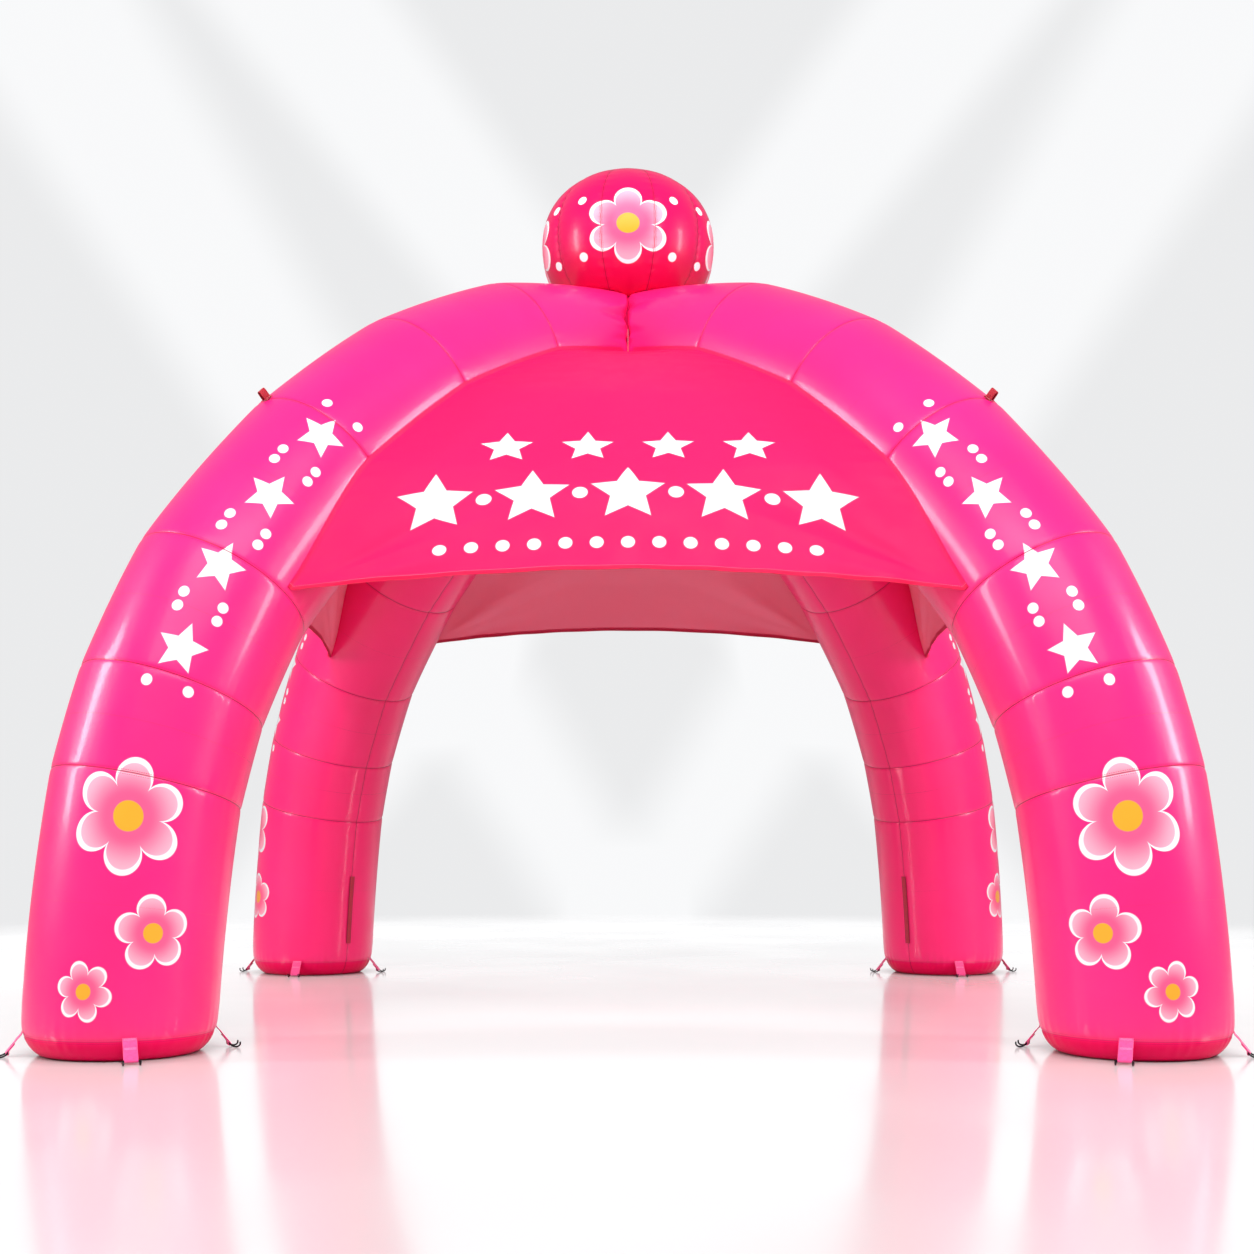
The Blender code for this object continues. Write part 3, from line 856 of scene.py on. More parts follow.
def leg_rows(angles):
    """Distance along, plain radius and distance to the next seam, row by row."""
    ones = np.ones_like(angles)
    along, radius, seam = [], [], []
    for r, height in curve_through(BOWL, BOWL_STEPS):
        along.append(height * ones)
        radius.append(r * ones)
        seam.append((height - SEAM_AT[0]) * ones)
    foot_top = BOWL[-1][1]
    for i in range(1, len(SEAM_AT) - 1):
        start = foot_top if i == 1 else SEAM_AT[i - 1]
        length = SEAM_AT[i] - start
        for step in [*section_rows(length, at_start=i > 1), length]:
            here = start + step
            along.append(here * ones)
            radius.append(TUBE_RADIUS * ones)
            below, above = here - SEAM_AT[i - 1], here - SEAM_AT[i]
            seam.append((below if below < -above else above) * ones)
    mitre = mitre_distance(angles, TUBE_RADIUS - MITRE_PINCH)
    length = SEAM_AT[-1] - SEAM_AT[-2]
    for step in [*section_rows(length), length]:
        here = SEAM_AT[-2] + (mitre - SEAM_AT[-2]) * step / length
        along.append(here)
        radius.append(TUBE_RADIUS * ones)
        below, above = here - SEAM_AT[-2], here - mitre
        seam.append(np.where(below < -above, below, above))
    return np.array(along), np.array(radius), np.array(seam), mitre


leg_angles = np.linspace(-180.0, 180.0, LEG_COLUMNS + 1)[:-1]
print("rows of a leg:", len(leg_rows(leg_angles)[0]), "columns:", LEG_COLUMNS)

# %% [markdown]
# With the rows in place, each leg gets its own seeds, so that no two legs
# fold alike. At the crown the four tubes are cut to a mitre and sewn to each
# other. The seam draws the cloth in, so it bends into flat facets of uneven
# width, and a few darts run back from the seam. The darts are a short given
# list, and everything else comes from the seed.

# %% Shape of a leg
MITRE_FACET_LEAST = 0.018
MITRE_FACET = 0.090
MITRE_DARTS = (
    # angle round the leg, width, depth, length of a fold that ends in the mitre
    (-125.0, 0.050, 0.018, 0.15),
    (-76.0, 0.050, 0.016, 0.14),
    (-46.0, 0.060, 0.022, 0.18),
    (18.0, 0.060, 0.012, 0.18),
    (60.0, 0.085, 0.034, 0.22),
    (82.0, 0.045, 0.016, 0.13),
    (124.0, 0.070, 0.030, 0.24),
    (168.0, 0.045, 0.010, 0.12),
)
MITRE_FOLDS = 0.0095
MITRE_FOLD_REACH = 0.110
MITRE_FOLD_COUNT = 17
MITRE_FACET_COUNT = 8
RING_FOLD_COUNT = 48
RING_PINCH = 0.0042
RING_PINCH_REACH = 0.008
RING_PINCH_AT_BASE = 0.35
SECTION_BULGE = 0.0010
BELLY_PINCH = 0.0050
BELLY_REACH = 0.018
BELLY_WAVE = 0.085
BASE_FOLDS = 0.0046
BACK_FOLDS = 0.0007
BELLY_FOLDS = 0.0019
SLOW_WAVE = 0.0007
# lengths over which the slow waves grow from the ground, and folds from a seam
SOLE_FADE = 0.3
FOLD_FADE = 0.05
# half width of a dart at its tip, and how unevenly the belly seam tugs
DART_TIP = 0.004
BELLY_TUG = 0.35


def leg_surface(seed):
    """Points of one leg in its own frame, their way along it and to a seam."""
    angles = leg_angles
    along, radius, seam, mitre = leg_rows(angles)
    facing_in = (1.0 - np.cos(np.radians(angles))) / 2.0
    radius = radius + slow_waves(along, angles, seed) * SLOW_WAVE * smooth_step(along / SOLE_FADE)
    for i, at in enumerate(SEAM_AT[:-1]):
        off = np.abs(along - at)
        folds = uneven_waves(angles, seed + 10 + i, RING_FOLD_COUNT)
        depth = BASE_FOLDS if i == 0 else BACK_FOLDS + (BELLY_FOLDS - BACK_FOLDS) * facing_in
        pinch = RING_PINCH * (RING_PINCH_AT_BASE if i == 0 else 1.0)
        radius = radius - pinch * np.exp(-off / RING_PINCH_REACH)
        radius = radius + folds * depth * gather_fade(off) * smooth_step(along / FOLD_FADE)
    off = np.maximum(mitre - along, 0.0)
    folds = uneven_waves(angles, seed + 30, MITRE_FOLD_COUNT)
    deeper = np.clip(uneven_waves(angles, seed + 31, MITRE_FACET_COUNT), 0.0, 1.0)
    facet = MITRE_FACET_LEAST + MITRE_FACET * deeper
    radius = radius - MITRE_PINCH * np.maximum(1.0 - off / facet, 0.0)
    fade = np.exp(-off / MITRE_FOLD_REACH) * smooth_step(off / FOLD_FADE)
    radius = radius + folds * MITRE_FOLDS * fade
    for angle, width, depth, length in MITRE_DARTS:
        shorter = np.maximum(1.0 - off / length, 0.0)
        beside = np.radians(np.abs((angles - angle + 180.0) % 360.0 - 180.0)) * TUBE_RADIUS
        radius = radius - depth * shorter * np.maximum(1.0 - beside / (width * shorter + DART_TIP), 0.0)
    belly_off = np.radians(180.0 - np.abs(angles)) * TUBE_RADIUS
    tug = 1.0 + BELLY_TUG * np.cos(along * 2 * math.pi / BELLY_WAVE)
    tug = tug * np.exp(-belly_off / BELLY_REACH)
    radius = radius - BELLY_PINCH * tug * smooth_step((along - SEAM_AT[0]) / FOLD_FADE)
    radius = np.minimum(radius, TUBE_RADIUS + SECTION_BULGE)
    radius[-1] = TUBE_RADIUS - MITRE_PINCH
    points = tube_point(along, angles, radius)
    return points, along, seam


print("darts at the mitre of a leg:", len(MITRE_DARTS))

# %% Close a leg
SOLE_RINGS = 3
FAR_FROM_SEAMS = 1.0


def close_sole(points, seam, faces, columns):
    """Add the flat sole inside the first ring of a leg."""
    middle = np.array([FOOT_DISTANCE, 0.0, 0.0])
    outer = list(range(columns))
    for ring in range(SOLE_RINGS - 1, 0, -1):
        share = ring / SOLE_RINGS
        inner = list(range(len(points), len(points) + columns))
        points += [middle + (points[i] - middle) * share for i in range(columns)]
        seam += [FAR_FROM_SEAMS] * columns
        for c in range(columns):
            n = (c + 1) % columns
            faces.append((outer[n], outer[c], inner[c], inner[n]))
        outer = inner
    points.append(middle)
    seam.append(FAR_FROM_SEAMS)
    hub = len(points) - 1
    faces += [(outer[(c + 1) % columns], outer[c], hub) for c in range(columns)]


def close_mitre(faces, rows, columns):
    """Add the two flat faces where a leg is cut to fit its neighbours."""
    top = list(range((rows - 1) * columns, rows * columns))
    half = columns // 2
    faces.append(tuple(top[: half + 1]))
    faces.append(tuple([top[0]] + top[: half - 1 : -1])[::-1])


def make_leg(name, azimuth, seed):
    """One closed leg: sole, tube and the two flat faces of its mitre."""
    points, along, seam = leg_surface(seed)
    rows, columns = along.shape
    faces, corners = grid_faces(rows, columns, closed=True)
    foot_faces = int((along[1:, 0] <= SEAM_AT[0] + 1e-6).sum()) * columns
    arc = np.linspace(-HALF_GIRTH, HALF_GIRTH, columns + 1)
    along = np.concatenate([along, along[:, :1]], axis=1)
    uv = np.stack([arc[corners[..., 1]], along[corners[..., 0], corners[..., 1]]], axis=-1)
    faces, uv = list(faces), list(uv)
    points, seam = list(points.reshape(-1, 3)), list(seam.ravel())
    close_sole(points, seam, faces, columns)
    close_mitre(faces, rows, columns)
    flat_uv = [(points[i][0], points[i][1]) for face in faces[len(uv):] for i in face]
    uvs = [tuple(corner) for quad in uv for corner in quad] + flat_uv
    slots = [(foot_cloth, foot_faces), (tube_cloth, len(faces) - foot_faces)]
    return cloth_object(name, turned(points, azimuth), faces, uvs, slots, measures={"ring_seam": seam})


print("a leg has", len(leg_rows(leg_angles)[0]) * LEG_COLUMNS, "points in its tube")

# %% [markdown]
# Each finished mesh is then tied to its packed node: it takes that node's
# place, which is hidden, and moves with the tent's one body.

# %% Make the legs
LEGS = (
    # name, azimuth of the leg's plane, turn of its straps
    ("front_left", 225, 22),
    ("front_right", 315, -22),
    ("rear_right", 45, 4),
    ("rear_left", 135, -4),
)


def take_place(piece, node):
    """Tie a piece to the packed node that it stands for."""
    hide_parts(node)
    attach(piece, "root")


for number, (name, azimuth, _) in enumerate(LEGS):
    leg = make_leg(f"leg_{name}_cloth", azimuth, 100 * (number + 1))
    take_place(leg, f"leg_{name}")
    print(leg.name, len(leg.data.polygons), "faces")

# %% [markdown]
# ## The roof cloth
# The roof is a lighter cloth than the tubes. It is printed from its outer
# side, so the dye is strong there and weaker on the reverse, and sunlight
# comes through it. That is a Principled shader mixed with a Translucent one.
# The reverse is drawn pale, over its weaker dye, as painted light for what
# comes through. The lower hem is turned over and stitched down, and it is
# drawn darker, most of all on the inside, as painted shade for the light
# that its layers hold back.

# %% Light through the cloth, and the front print
PRINT_ROWS = (
    # motif, height over the hem, distance between two, offset in distances,
    # size, how far the row reaches to either side
    ("dot", 0.14, 0.135, 0.0, 0.030, 0.88),
    ("star", 0.42, 0.42, 0.0, 0.170, 1.04),
    ("dot", 0.42, 0.42, 0.5, 0.034, 0.82),
    ("star", 0.78, 0.36, 0.5, 0.120, 0.72),
)


def let_light_through(finish, share, colour):
    """Mix in a Translucent shader, so that light from behind shows."""
    through = finish.add("ShaderNodeBsdfTranslucent")
    finish.feed(through.inputs["Color"], colour)
    mixer = finish.add("ShaderNodeMixShader")
    finish.feed(mixer.inputs[0], share)
    finish.tree.links.new(finish.shader.outputs[0], mixer.inputs[1])
    finish.tree.links.new(through.outputs[0], mixer.inputs[2])
    output = finish.tree.nodes["Material Output"]
    finish.tree.links.new(mixer.outputs[0], output.inputs["Surface"])


def repeated(finish, value, period, offset=0.0):
    """Place within the nearest of many equal cells, from minus to plus half."""
    step = finish.plus(finish.over(value, period), 0.5 + offset)
    return finish.times(finish.minus(finish.math("FRACT", step), 0.5), period)


def front_print(finish, u, v):
    """1 on the white stars and dots of the front panel, 0 beside them."""
    white = 0.0
    for motif, height, period, offset, size, reach in PRINT_ROWS:
        mask = star_mask if motif == "star" else dot_mask
        row = mask(finish, repeated(finish, u, period, offset), finish.minus(v, height), size)
        inside = finish.math("LESS_THAN", finish.absolute(u), reach)
        white = finish.larger(white, finish.times(row, inside))
    return white


print("rows of the front print:", len(PRINT_ROWS))

# %% Roof cloth finish
ROOF_PINK = (0.97, 0.004, 0.104)
ROOF_REVERSE_DYE_AND_LIGHT = (1.0, 0.400, 0.560)
ROOF_LIGHT = (1.0, 0.300, 0.460)
ROOF_THREAD = (1.0, 0.20, 0.42)
ROOF_ROUGHNESS = (0.44, 0.54)
ROOF_THROUGH = 0.14
REVERSE_THROUGH = 0.50
HEM_PINK_SHADED = (0.72, 0.002, 0.056)
HEM_REVERSE_SHADED = (0.40, 0.004, 0.050)
HEM_DEPTH = 0.024
HEM_THREAD_INSET = 0.004
HEM_THREAD = (0.0006, 0.0012)


def make_roof_cloth(name, cloth, hem, printed, outer=True):
    """One face of the roof cloth, with its hem and the light that comes through."""
    finish = Finish(name, 0.48)
    u, v, place = finish.cloth_place()
    colour = finish.patchy(place, 1.1, tuple(0.95 * c for c in cloth), cloth)
    light = ROOF_LIGHT
    if printed:
        white = front_print(finish, u, v)
        colour = finish.mix(white, colour, PRINT_WHITE)
        light = finish.mix(white, light, PRINT_WHITE)
    # painted shade: the hem is drawn darker, for the light that its layers hold back
    edge = finish.fade(v, HEM_DEPTH - 0.001, HEM_DEPTH + 0.001)
    colour = finish.mix(edge, hem, colour)
    inset = finish.absolute(finish.minus(v, HEM_DEPTH - HEM_THREAD_INSET))
    row = finish.fade(inset, *HEM_THREAD, 1.0, 0.0)
    stitches = finish.times(row, finish.dashes(u, STITCH_LENGTH))
    colour = finish.mix(stitches, colour, ROOF_THREAD)
    finish.set("Base Color", colour)
    finish.set("Roughness", finish.fade(finish.noise(place, 6.0), *NOISE_RANGE, *ROOF_ROUGHNESS))
    finish.set("Specular IOR Level", 0.28)
    finish.set("Sheen Weight", 0.03)
    finish.bump(weave_height(finish, u, v), 0.0004, 0.25)
    let_light_through(finish, ROOF_THROUGH if outer else REVERSE_THROUGH, light)
    return finish.material


roof_printed = make_roof_cloth("roof_cloth_printed", ROOF_PINK, HEM_PINK_SHADED, True)
roof_plain = make_roof_cloth("roof_cloth_plain", ROOF_PINK, HEM_PINK_SHADED, False)
# the pale reverse is painted light for what comes through, over a weaker dye
roof_reverse = make_roof_cloth("roof_cloth_reverse", ROOF_REVERSE_DYE_AND_LIGHT, HEM_REVERSE_SHADED, False, False)
print("roof cloth: printed, plain and reverse")

# %% [markdown]
# ## The roof panels
# A panel hangs between two legs, sewn along their widest lines, and its lower
# hem is cut to an upward arch so that it doesn't flap. A rectangle of cloth
# could be draped by simulation, but this one is stretched, and its shape is
# set by its edges. So each row of the grid is drawn from leg to leg with a
# little sag, and the pull of the two hem corners is added as folds.

# %% Folds of a panel
FOLD_HEIGHT = 0.015
FOLDS_PER_CORNER = 3.5
FOLD_REACH = 1.1
CREASES = (
    # direction from the hem corner in degrees, height of the crease, its reach
    (8.0, 0.0036, 0.60),
    (17.0, -0.0044, 0.80),
    (25.0, 0.0056, 0.95),
    (37.0, -0.0036, 0.80),
    (49.0, 0.0036, 0.70),
)
CREASE_WIDTH = 0.045
CREASE_WIDTH_AT_CORNER = 0.022
SEAM_RIPPLE = 0.0022
SEAM_RIPPLE_LENGTH = 0.105
HEM_RIPPLE = 0.0030
HEM_RIPPLE_LENGTH = 0.31
# lengths over which the ripples die out from the flanks and from the hem
FLANK_FADE = 0.07
HEM_FADE = 0.10
PANEL_WAVE = 0.0080
PANEL_WAVES = 5


def corner_folds(across, up, width):
    """Soft folds and finer creases that fan out from both hem corners."""
    height = np.zeros_like(up)
    for sideways in (across, 1.0 - across):
        off = sideways * width
        reach = np.hypot(off, up)
        spread = np.arctan2(up, np.maximum(off, 1e-6))
        fade = np.exp(-((reach / FOLD_REACH) ** 2)) * smooth_step(reach / 0.3)
        fade = fade * smooth_step(sideways * 6.0)
        height = height + FOLD_HEIGHT * np.sin(spread * 2 * FOLDS_PER_CORNER) * fade
        width_here = np.hypot(CREASE_WIDTH_AT_CORNER, CREASE_WIDTH * reach)
        for direction, rise, far in CREASES:
            turn = (spread - math.radians(direction)) * reach / width_here
            fade = np.exp(-((reach / far) ** 2)) * smooth_step(reach / 0.25)
            height = height + rise * np.exp(-(turn**2)) * fade
    return height


def small_ripples(across, up, width, seed):
    """Ripples along the sewn flanks and the hem, and slow waves in between."""
    rng = np.random.default_rng(seed)
    height = np.zeros_like(up)
    for sideways in (across, 1.0 - across):
        off = sideways * width
        phase = up * 2 * math.pi / SEAM_RIPPLE_LENGTH + 2.0 * np.cos(up * 3.1 + rng.uniform(0, 6))
        fade = np.exp(-off / FLANK_FADE) * smooth_step(off / 0.02)
        height = height + SEAM_RIPPLE * np.sin(phase) * fade
    shift = 1.5 * np.cos(across * 7 + rng.uniform(0, 6))
    phase = across * width * 2 * math.pi / HEM_RIPPLE_LENGTH + shift
    ends = smooth_step(across * 12) * smooth_step((1 - across) * 12)
    height = height + HEM_RIPPLE * np.sin(phase) * np.exp(-up / HEM_FADE) * ends
    left_end, right_end = smooth_step(across * 8), smooth_step((1 - across) * 8)
    for _ in range(PANEL_WAVES):
        wave_u, wave_v, start = rng.uniform(-5, 5), rng.uniform(-6, 6), rng.uniform(0, 6.3)
        wave = np.cos(wave_u * across * width + wave_v * up + start)
        height = height + PANEL_WAVE / 3 * wave * left_end * right_end
    return height


print("creases at each hem corner:", len(CREASES))

# %% Flanks of a panel
SHEET_CLEARANCE = 0.0045
# the sewn line leaves the hem corner's angle and nears this one further up
FLANK_AT_TOP = 88.0
FLANK_CHANGE_LENGTH = 0.75
FLANGE_WIDTH = 0.022
FLANGE_COLUMNS = 3
FLANGE_LIFT = 0.0026


def flank_edge(along, corner, azimuth, side, beyond=0.0, radius=TUBE_RADIUS + SHEET_CLEARANCE):
    """Edge of a panel on one leg; beyond goes on over the tube, in degrees."""
    share = smooth_step((along - corner[0]) / FLANK_CHANGE_LENGTH)
    from_belly = corner[1] + (FLANK_AT_TOP - corner[1]) * share + beyond
    return turned(tube_point(along, side * (180.0 - from_belly), radius), azimuth)


def flank_lap(along, up, edge_u, corner, azimuth, side):
    """The strip of a panel that laps over its leg, as columns and their map."""
    points, uv = [], []
    for i in range(1, FLANGE_COLUMNS + 1):
        off = FLANGE_WIDTH * i / FLANGE_COLUMNS
        beyond, lift = math.degrees(off / TUBE_RADIUS), TUBE_RADIUS + FLANGE_LIFT
        points.append(flank_edge(along, corner, azimuth, side, beyond, lift))
        uv.append(np.stack([edge_u - side * off, up], axis=-1))
    return points, uv


print("a panel laps", FLANGE_WIDTH, "m over its legs")

# %% Surface of a panel
LEFT_AZIMUTH, RIGHT_AZIMUTH = 225, 315
PANEL_TOP = 4.60
PANEL_SAG = 0.022
PANEL_COLUMNS = 130
PANEL_ROWS = 112
# columns stand closer at the flanks, and rows in the hem, where the cloth bends
PANEL_CROWDING = 0.65
HEM_ROWS = (0.0, 0.0008, 0.006, 0.012, 0.018, 0.0232, 0.0246, 0.032)
SLOPE_STEP = 0.05


def panel_surface(rise, left, right, seed):
    """Middle surface of a panel in the front panel's place, with its cloth map."""
    across = np.linspace(0.0, 1.0, PANEL_COLUMNS + 1)[None, :]
    across = across - PANEL_CROWDING * np.sin(2 * math.pi * across) / (2 * math.pi)
    corner = left[0] + (right[0] - left[0]) * across
    hem = corner + rise * 4.0 * across * (1.0 - across)
    rest = np.linspace(0.0, 1.0, PANEL_ROWS + 1)[1:, None]
    rest = HEM_ROWS[-1] + (PANEL_TOP - hem - HEM_ROWS[-1]) * rest
    first = np.array(HEM_ROWS)[:, None] * np.ones_like(across)
    up = np.vstack([first, rest])
    along = hem + up
    hanging = 1.0 - up / (PANEL_TOP - hem)
    lag_left, lag_right = (left[0] - corner) * hanging, (right[0] - corner) * hanging

    def edges(shift):
        """Both sewn edges, moved along their legs by a shift."""
        start = flank_edge(along + lag_left + shift, left, LEFT_AZIMUTH, 1)
        end = flank_edge(along + lag_right + shift, right, RIGHT_AZIMUTH, -1)
        return start, end

    start, end = edges(0.0)
    above, below = edges(SLOPE_STEP), edges(-SLOPE_STEP)
    span = end - start
    width = np.linalg.norm(span, axis=-1)
    outward = np.cross(span, above[0] + above[1] - below[0] - below[1])
    outward = outward / np.linalg.norm(outward, axis=-1, keepdims=True)
    sag = PANEL_SAG * width * 4.0 * across * (1.0 - across)
    height = corner_folds(across * np.ones_like(up), up, width) - sag
    height = height + small_ripples(across * np.ones_like(up), up, width, seed)
    points = start + span * across[..., None] + outward * height[..., None]
    uv = np.stack([(across - 0.5) * width, up], axis=-1)
    left_points, left_uv = flank_lap(
        along[:, 0] + lag_left[:, 0], up[:, 0], uv[:, 0, 0], left, LEFT_AZIMUTH, 1
    )
    right_points, right_uv = flank_lap(
        along[:, -1] + lag_right[:, -1], up[:, -1], uv[:, -1, 0], right, RIGHT_AZIMUTH, -1
    )
    points = np.stack([*left_points[::-1], *points.transpose(1, 0, 2), *right_points], axis=1)
    uv = np.stack([*left_uv[::-1], *uv.transpose(1, 0, 2), *right_uv], axis=1)
    return points, uv


print("panel grid:", PANEL_COLUMNS, "by", PANEL_ROWS + len(HEM_ROWS))

# %% [markdown]
# The sheet gets its thickness by hand, not from a Solidify modifier, because
# the hem is thicker than the cloth, and because the inner face needs the
# paler reverse material. Two copies of the grid are moved apart along its
# normals and joined round their border.

# %% Thick sheets


def grid_normals(points):
    """Unit normals of a grid of points."""
    normal = np.cross(np.gradient(points, axis=1), np.gradient(points, axis=0))
    return normal / np.linalg.norm(normal, axis=-1, keepdims=True)


def thick_sheet(name, points, uv, thickness, outer_material, inner_material):
    """Closed sheet: outer face, inner face and the border between them."""
    rows, columns = points.shape[:2]
    normal = grid_normals(points) * (thickness / 2)
    faces, corners = grid_faces(rows, columns, closed=False)
    count = rows * columns
    flat_uv = uv.reshape(-1, 2)
    outer = faces
    inner = faces[:, ::-1] + count
    ring = list(range(columns))
    ring += [r * columns + columns - 1 for r in range(1, rows)]
    ring += [(rows - 1) * columns + c for c in range(columns - 2, -1, -1)]
    ring += [r * columns for r in range(rows - 2, 0, -1)]
    border = [(b, a, a + count, b + count) for a, b in zip(ring, ring[1:] + ring[:1])]
    all_faces = [*map(tuple, outer), *map(tuple, inner), *border]
    uvs = [flat_uv[i % count] for face in all_faces for i in face]
    both = np.concatenate([(points + normal).reshape(-1, 3), (points - normal).reshape(-1, 3)])
    slots = [(outer_material, len(outer)), (inner_material, len(inner)), (outer_material, len(border))]
    return cloth_object(name, both, all_faces, uvs, slots, sharp=60.0)


square = np.array([[(0.0, 0.0, 0.0), (1.0, 0.0, 0.0)], [(0.0, 1.0, 0.0), (1.0, 1.0, 0.0)]])
print("a square in the floor faces", grid_normals(square)[0, 0])

# %% Make the panels
CLOTH_THICKNESS = 0.0014
HEM_THICKNESS = 0.0034
HEM_STEP = 0.0012
PANEL_SEED = 40
PANELS = (
    # name, turn, rise of the hem, then for its left and its right leg:
    # hem corner along the leg, angle of that corner from the leg's belly
    ("roof_front", 0, 0.17, (2.07, 76.0), (2.07, 76.0)),
    ("roof_right", 90, 0.15, (2.07, 76.0), (2.22, 66.0)),
    ("roof_rear", 180, 0.13, (2.36, 76.0), (2.36, 76.0)),
    ("roof_left", 270, 0.15, (2.22, 66.0), (2.07, 76.0)),
)


for number, (name, turn, rise, left, right) in enumerate(PANELS):
    points, uv = panel_surface(rise, left, right, PANEL_SEED + number)
    hem_share = smooth_step((HEM_DEPTH + HEM_STEP / 2 - uv[..., 1:2]) / HEM_STEP)
    thickness = CLOTH_THICKNESS + (HEM_THICKNESS - CLOTH_THICKNESS) * hem_share
    outer = roof_printed if name == "roof_front" else roof_plain
    panel = thick_sheet(f"{name}_cloth", turned(points, turn), uv, thickness, outer, roof_reverse)
    take_place(panel, name)

# %% [markdown]
# ## The ball
# Ten gores make the ball: each is cut like a slice of orange peel, and the
# seams between them stay a little short, so the cloth swells between seams
# and gathers beside them. The ball is blown up on the crown that carries it,
# and takes the crown's shape underneath, also where the crown is drawn in at
# its mitre. A Boolean could cut that seat, but it leaves long thin faces. Here
# each low point of the ball is lifted onto the crown instead.

# %% Ball finish
BALL_PINK = (0.66, 0.001, 0.092)
BALL_SHADED = (0.48, 0.001, 0.030)
BALL_SEAM_SHADE = (0.20, 0.001, 0.018)
BALL_THREAD = (0.34, 0.002, 0.045)
BALL_SHADE_FROM_TO = (-0.27, -0.05)
BALL_SHADE_SHARE = 0.50
BALL_ROUGHNESS = (0.28, 0.38)
BALL_GLOSS = (0.24, 0.22, 0.16)
BALL_RADIUS = 0.467
BALL_GORES = 10
BALL_SIDES_WITH_PRINT = 4
BALL_FLOWER = 0.230
BALL_FLOWER_AT = -0.02
BALL_DOT = 0.026
BALL_DOT_APART = 0.26
BALL_DOT_HEIGHTS = (0.15, -0.19)


def make_ball_cloth():
    """A deeper pink than the legs, with painted shade low on the ball, where it meets them."""
    finish = Finish("ball_cloth_pink", 0.34)
    u, v, place = finish.cloth_place()
    colour = finish.patchy(place, 2.2, tuple(0.92 * c for c in BALL_PINK), BALL_PINK)
    # painted shade: the lowest part of the ball, where it sits on the crown, is drawn deeper
    shaded = finish.fade(v, *BALL_SHADE_FROM_TO, BALL_SHADE_SHARE, 0.0)
    colour = finish.mix(shaded, colour, BALL_SHADED)
    cell = 2.0 * math.pi * BALL_RADIUS / BALL_SIDES_WITH_PRINT
    side = repeated(finish, u, cell)
    colour = flower(finish, colour, side, finish.minus(v, BALL_FLOWER_AT), BALL_FLOWER)
    apart = finish.minus(finish.absolute(side), BALL_DOT_APART)
    for height in BALL_DOT_HEIGHTS:
        dot = dot_mask(finish, apart, finish.minus(v, height), BALL_DOT)
        colour = finish.mix(dot, colour, PRINT_WHITE)
    seam = finish.measure("gore_seam")
    # painted shade: a dark line along each gore seam
    colour, line = seam_marks(finish, colour, seam, v, BALL_SEAM_SHADE, BALL_THREAD)
    finish.set("Base Color", colour)
    coated(finish, place, BALL_ROUGHNESS, *BALL_GLOSS)
    sewn_relief(finish, u, v, line)
    return finish.material


ball_cloth = make_ball_cloth()
print("ball cloth has", len(ball_cloth.node_tree.nodes), "nodes")

# %% The crown under the ball
SEAT_GAP = 0.0012
SEAT_PINCH_SHARE = 0.8
SEAT_PINCH_REACH = 0.030


def crown_height(x, y):
    """Height of the crown's skin over places near the tent's axis.

    Both arches are searched by halving for the point that lies under each
    place; a place beside an arch gets -1, which is below everything.
    """
    heights = []
    for azimuth in (45, 135):
        c, s = math.cos(math.radians(azimuth)), math.sin(math.radians(azimuth))
        out, side = np.abs(x * c + y * s), y * c - x * s
        from_mitre = np.maximum(out - np.abs(side), 0.0)
        pinch = SEAT_PINCH_SHARE * MITRE_PINCH * np.exp(-from_mitre / SEAT_PINCH_REACH)
        radius = TUBE_RADIUS + SEAT_GAP - pinch
        cosine = np.sqrt(np.maximum(1.0 - (side / radius) ** 2, 0.0))
        low, high = np.full_like(out, SEAM_AT[-2]), np.full_like(out, SEAM_AT[-1])
        for _ in range(HALVINGS):
            between = (low + high) / 2
            middle, outward = arch_frame(between)
            beyond = middle[..., 0] + outward[..., 0] * radius * cosine > out
            low, high = np.where(beyond, between, low), np.where(beyond, high, between)
        middle, outward = arch_frame(low)
        height = middle[..., 1] + outward[..., 1] * radius * cosine
        heights.append(np.where(np.abs(side) < radius, height, -1.0))
    return np.maximum(*heights)


print("crown under the ball's middle:", np.round(crown_height(np.zeros(1), np.zeros(1)), 3))

# %% Shape of the ball
BALL_HALF_HEIGHT = 0.400
BALL_CENTRE_HEIGHT = 4.055
BALL_TOP = BALL_CENTRE_HEIGHT + BALL_HALF_HEIGHT
BALL_SQUARENESS = 2.15
BALL_COLUMNS = 240
BALL_ROWS = 96
GORE_PINCH = 0.026
GORE_PINCH_REACH = 0.034
GORE_SWELL = 0.006
GORE_FOLDS = 0.0030
GORE_FOLD_LENGTH = 0.052
GORE_FOLD_REACH = 0.030


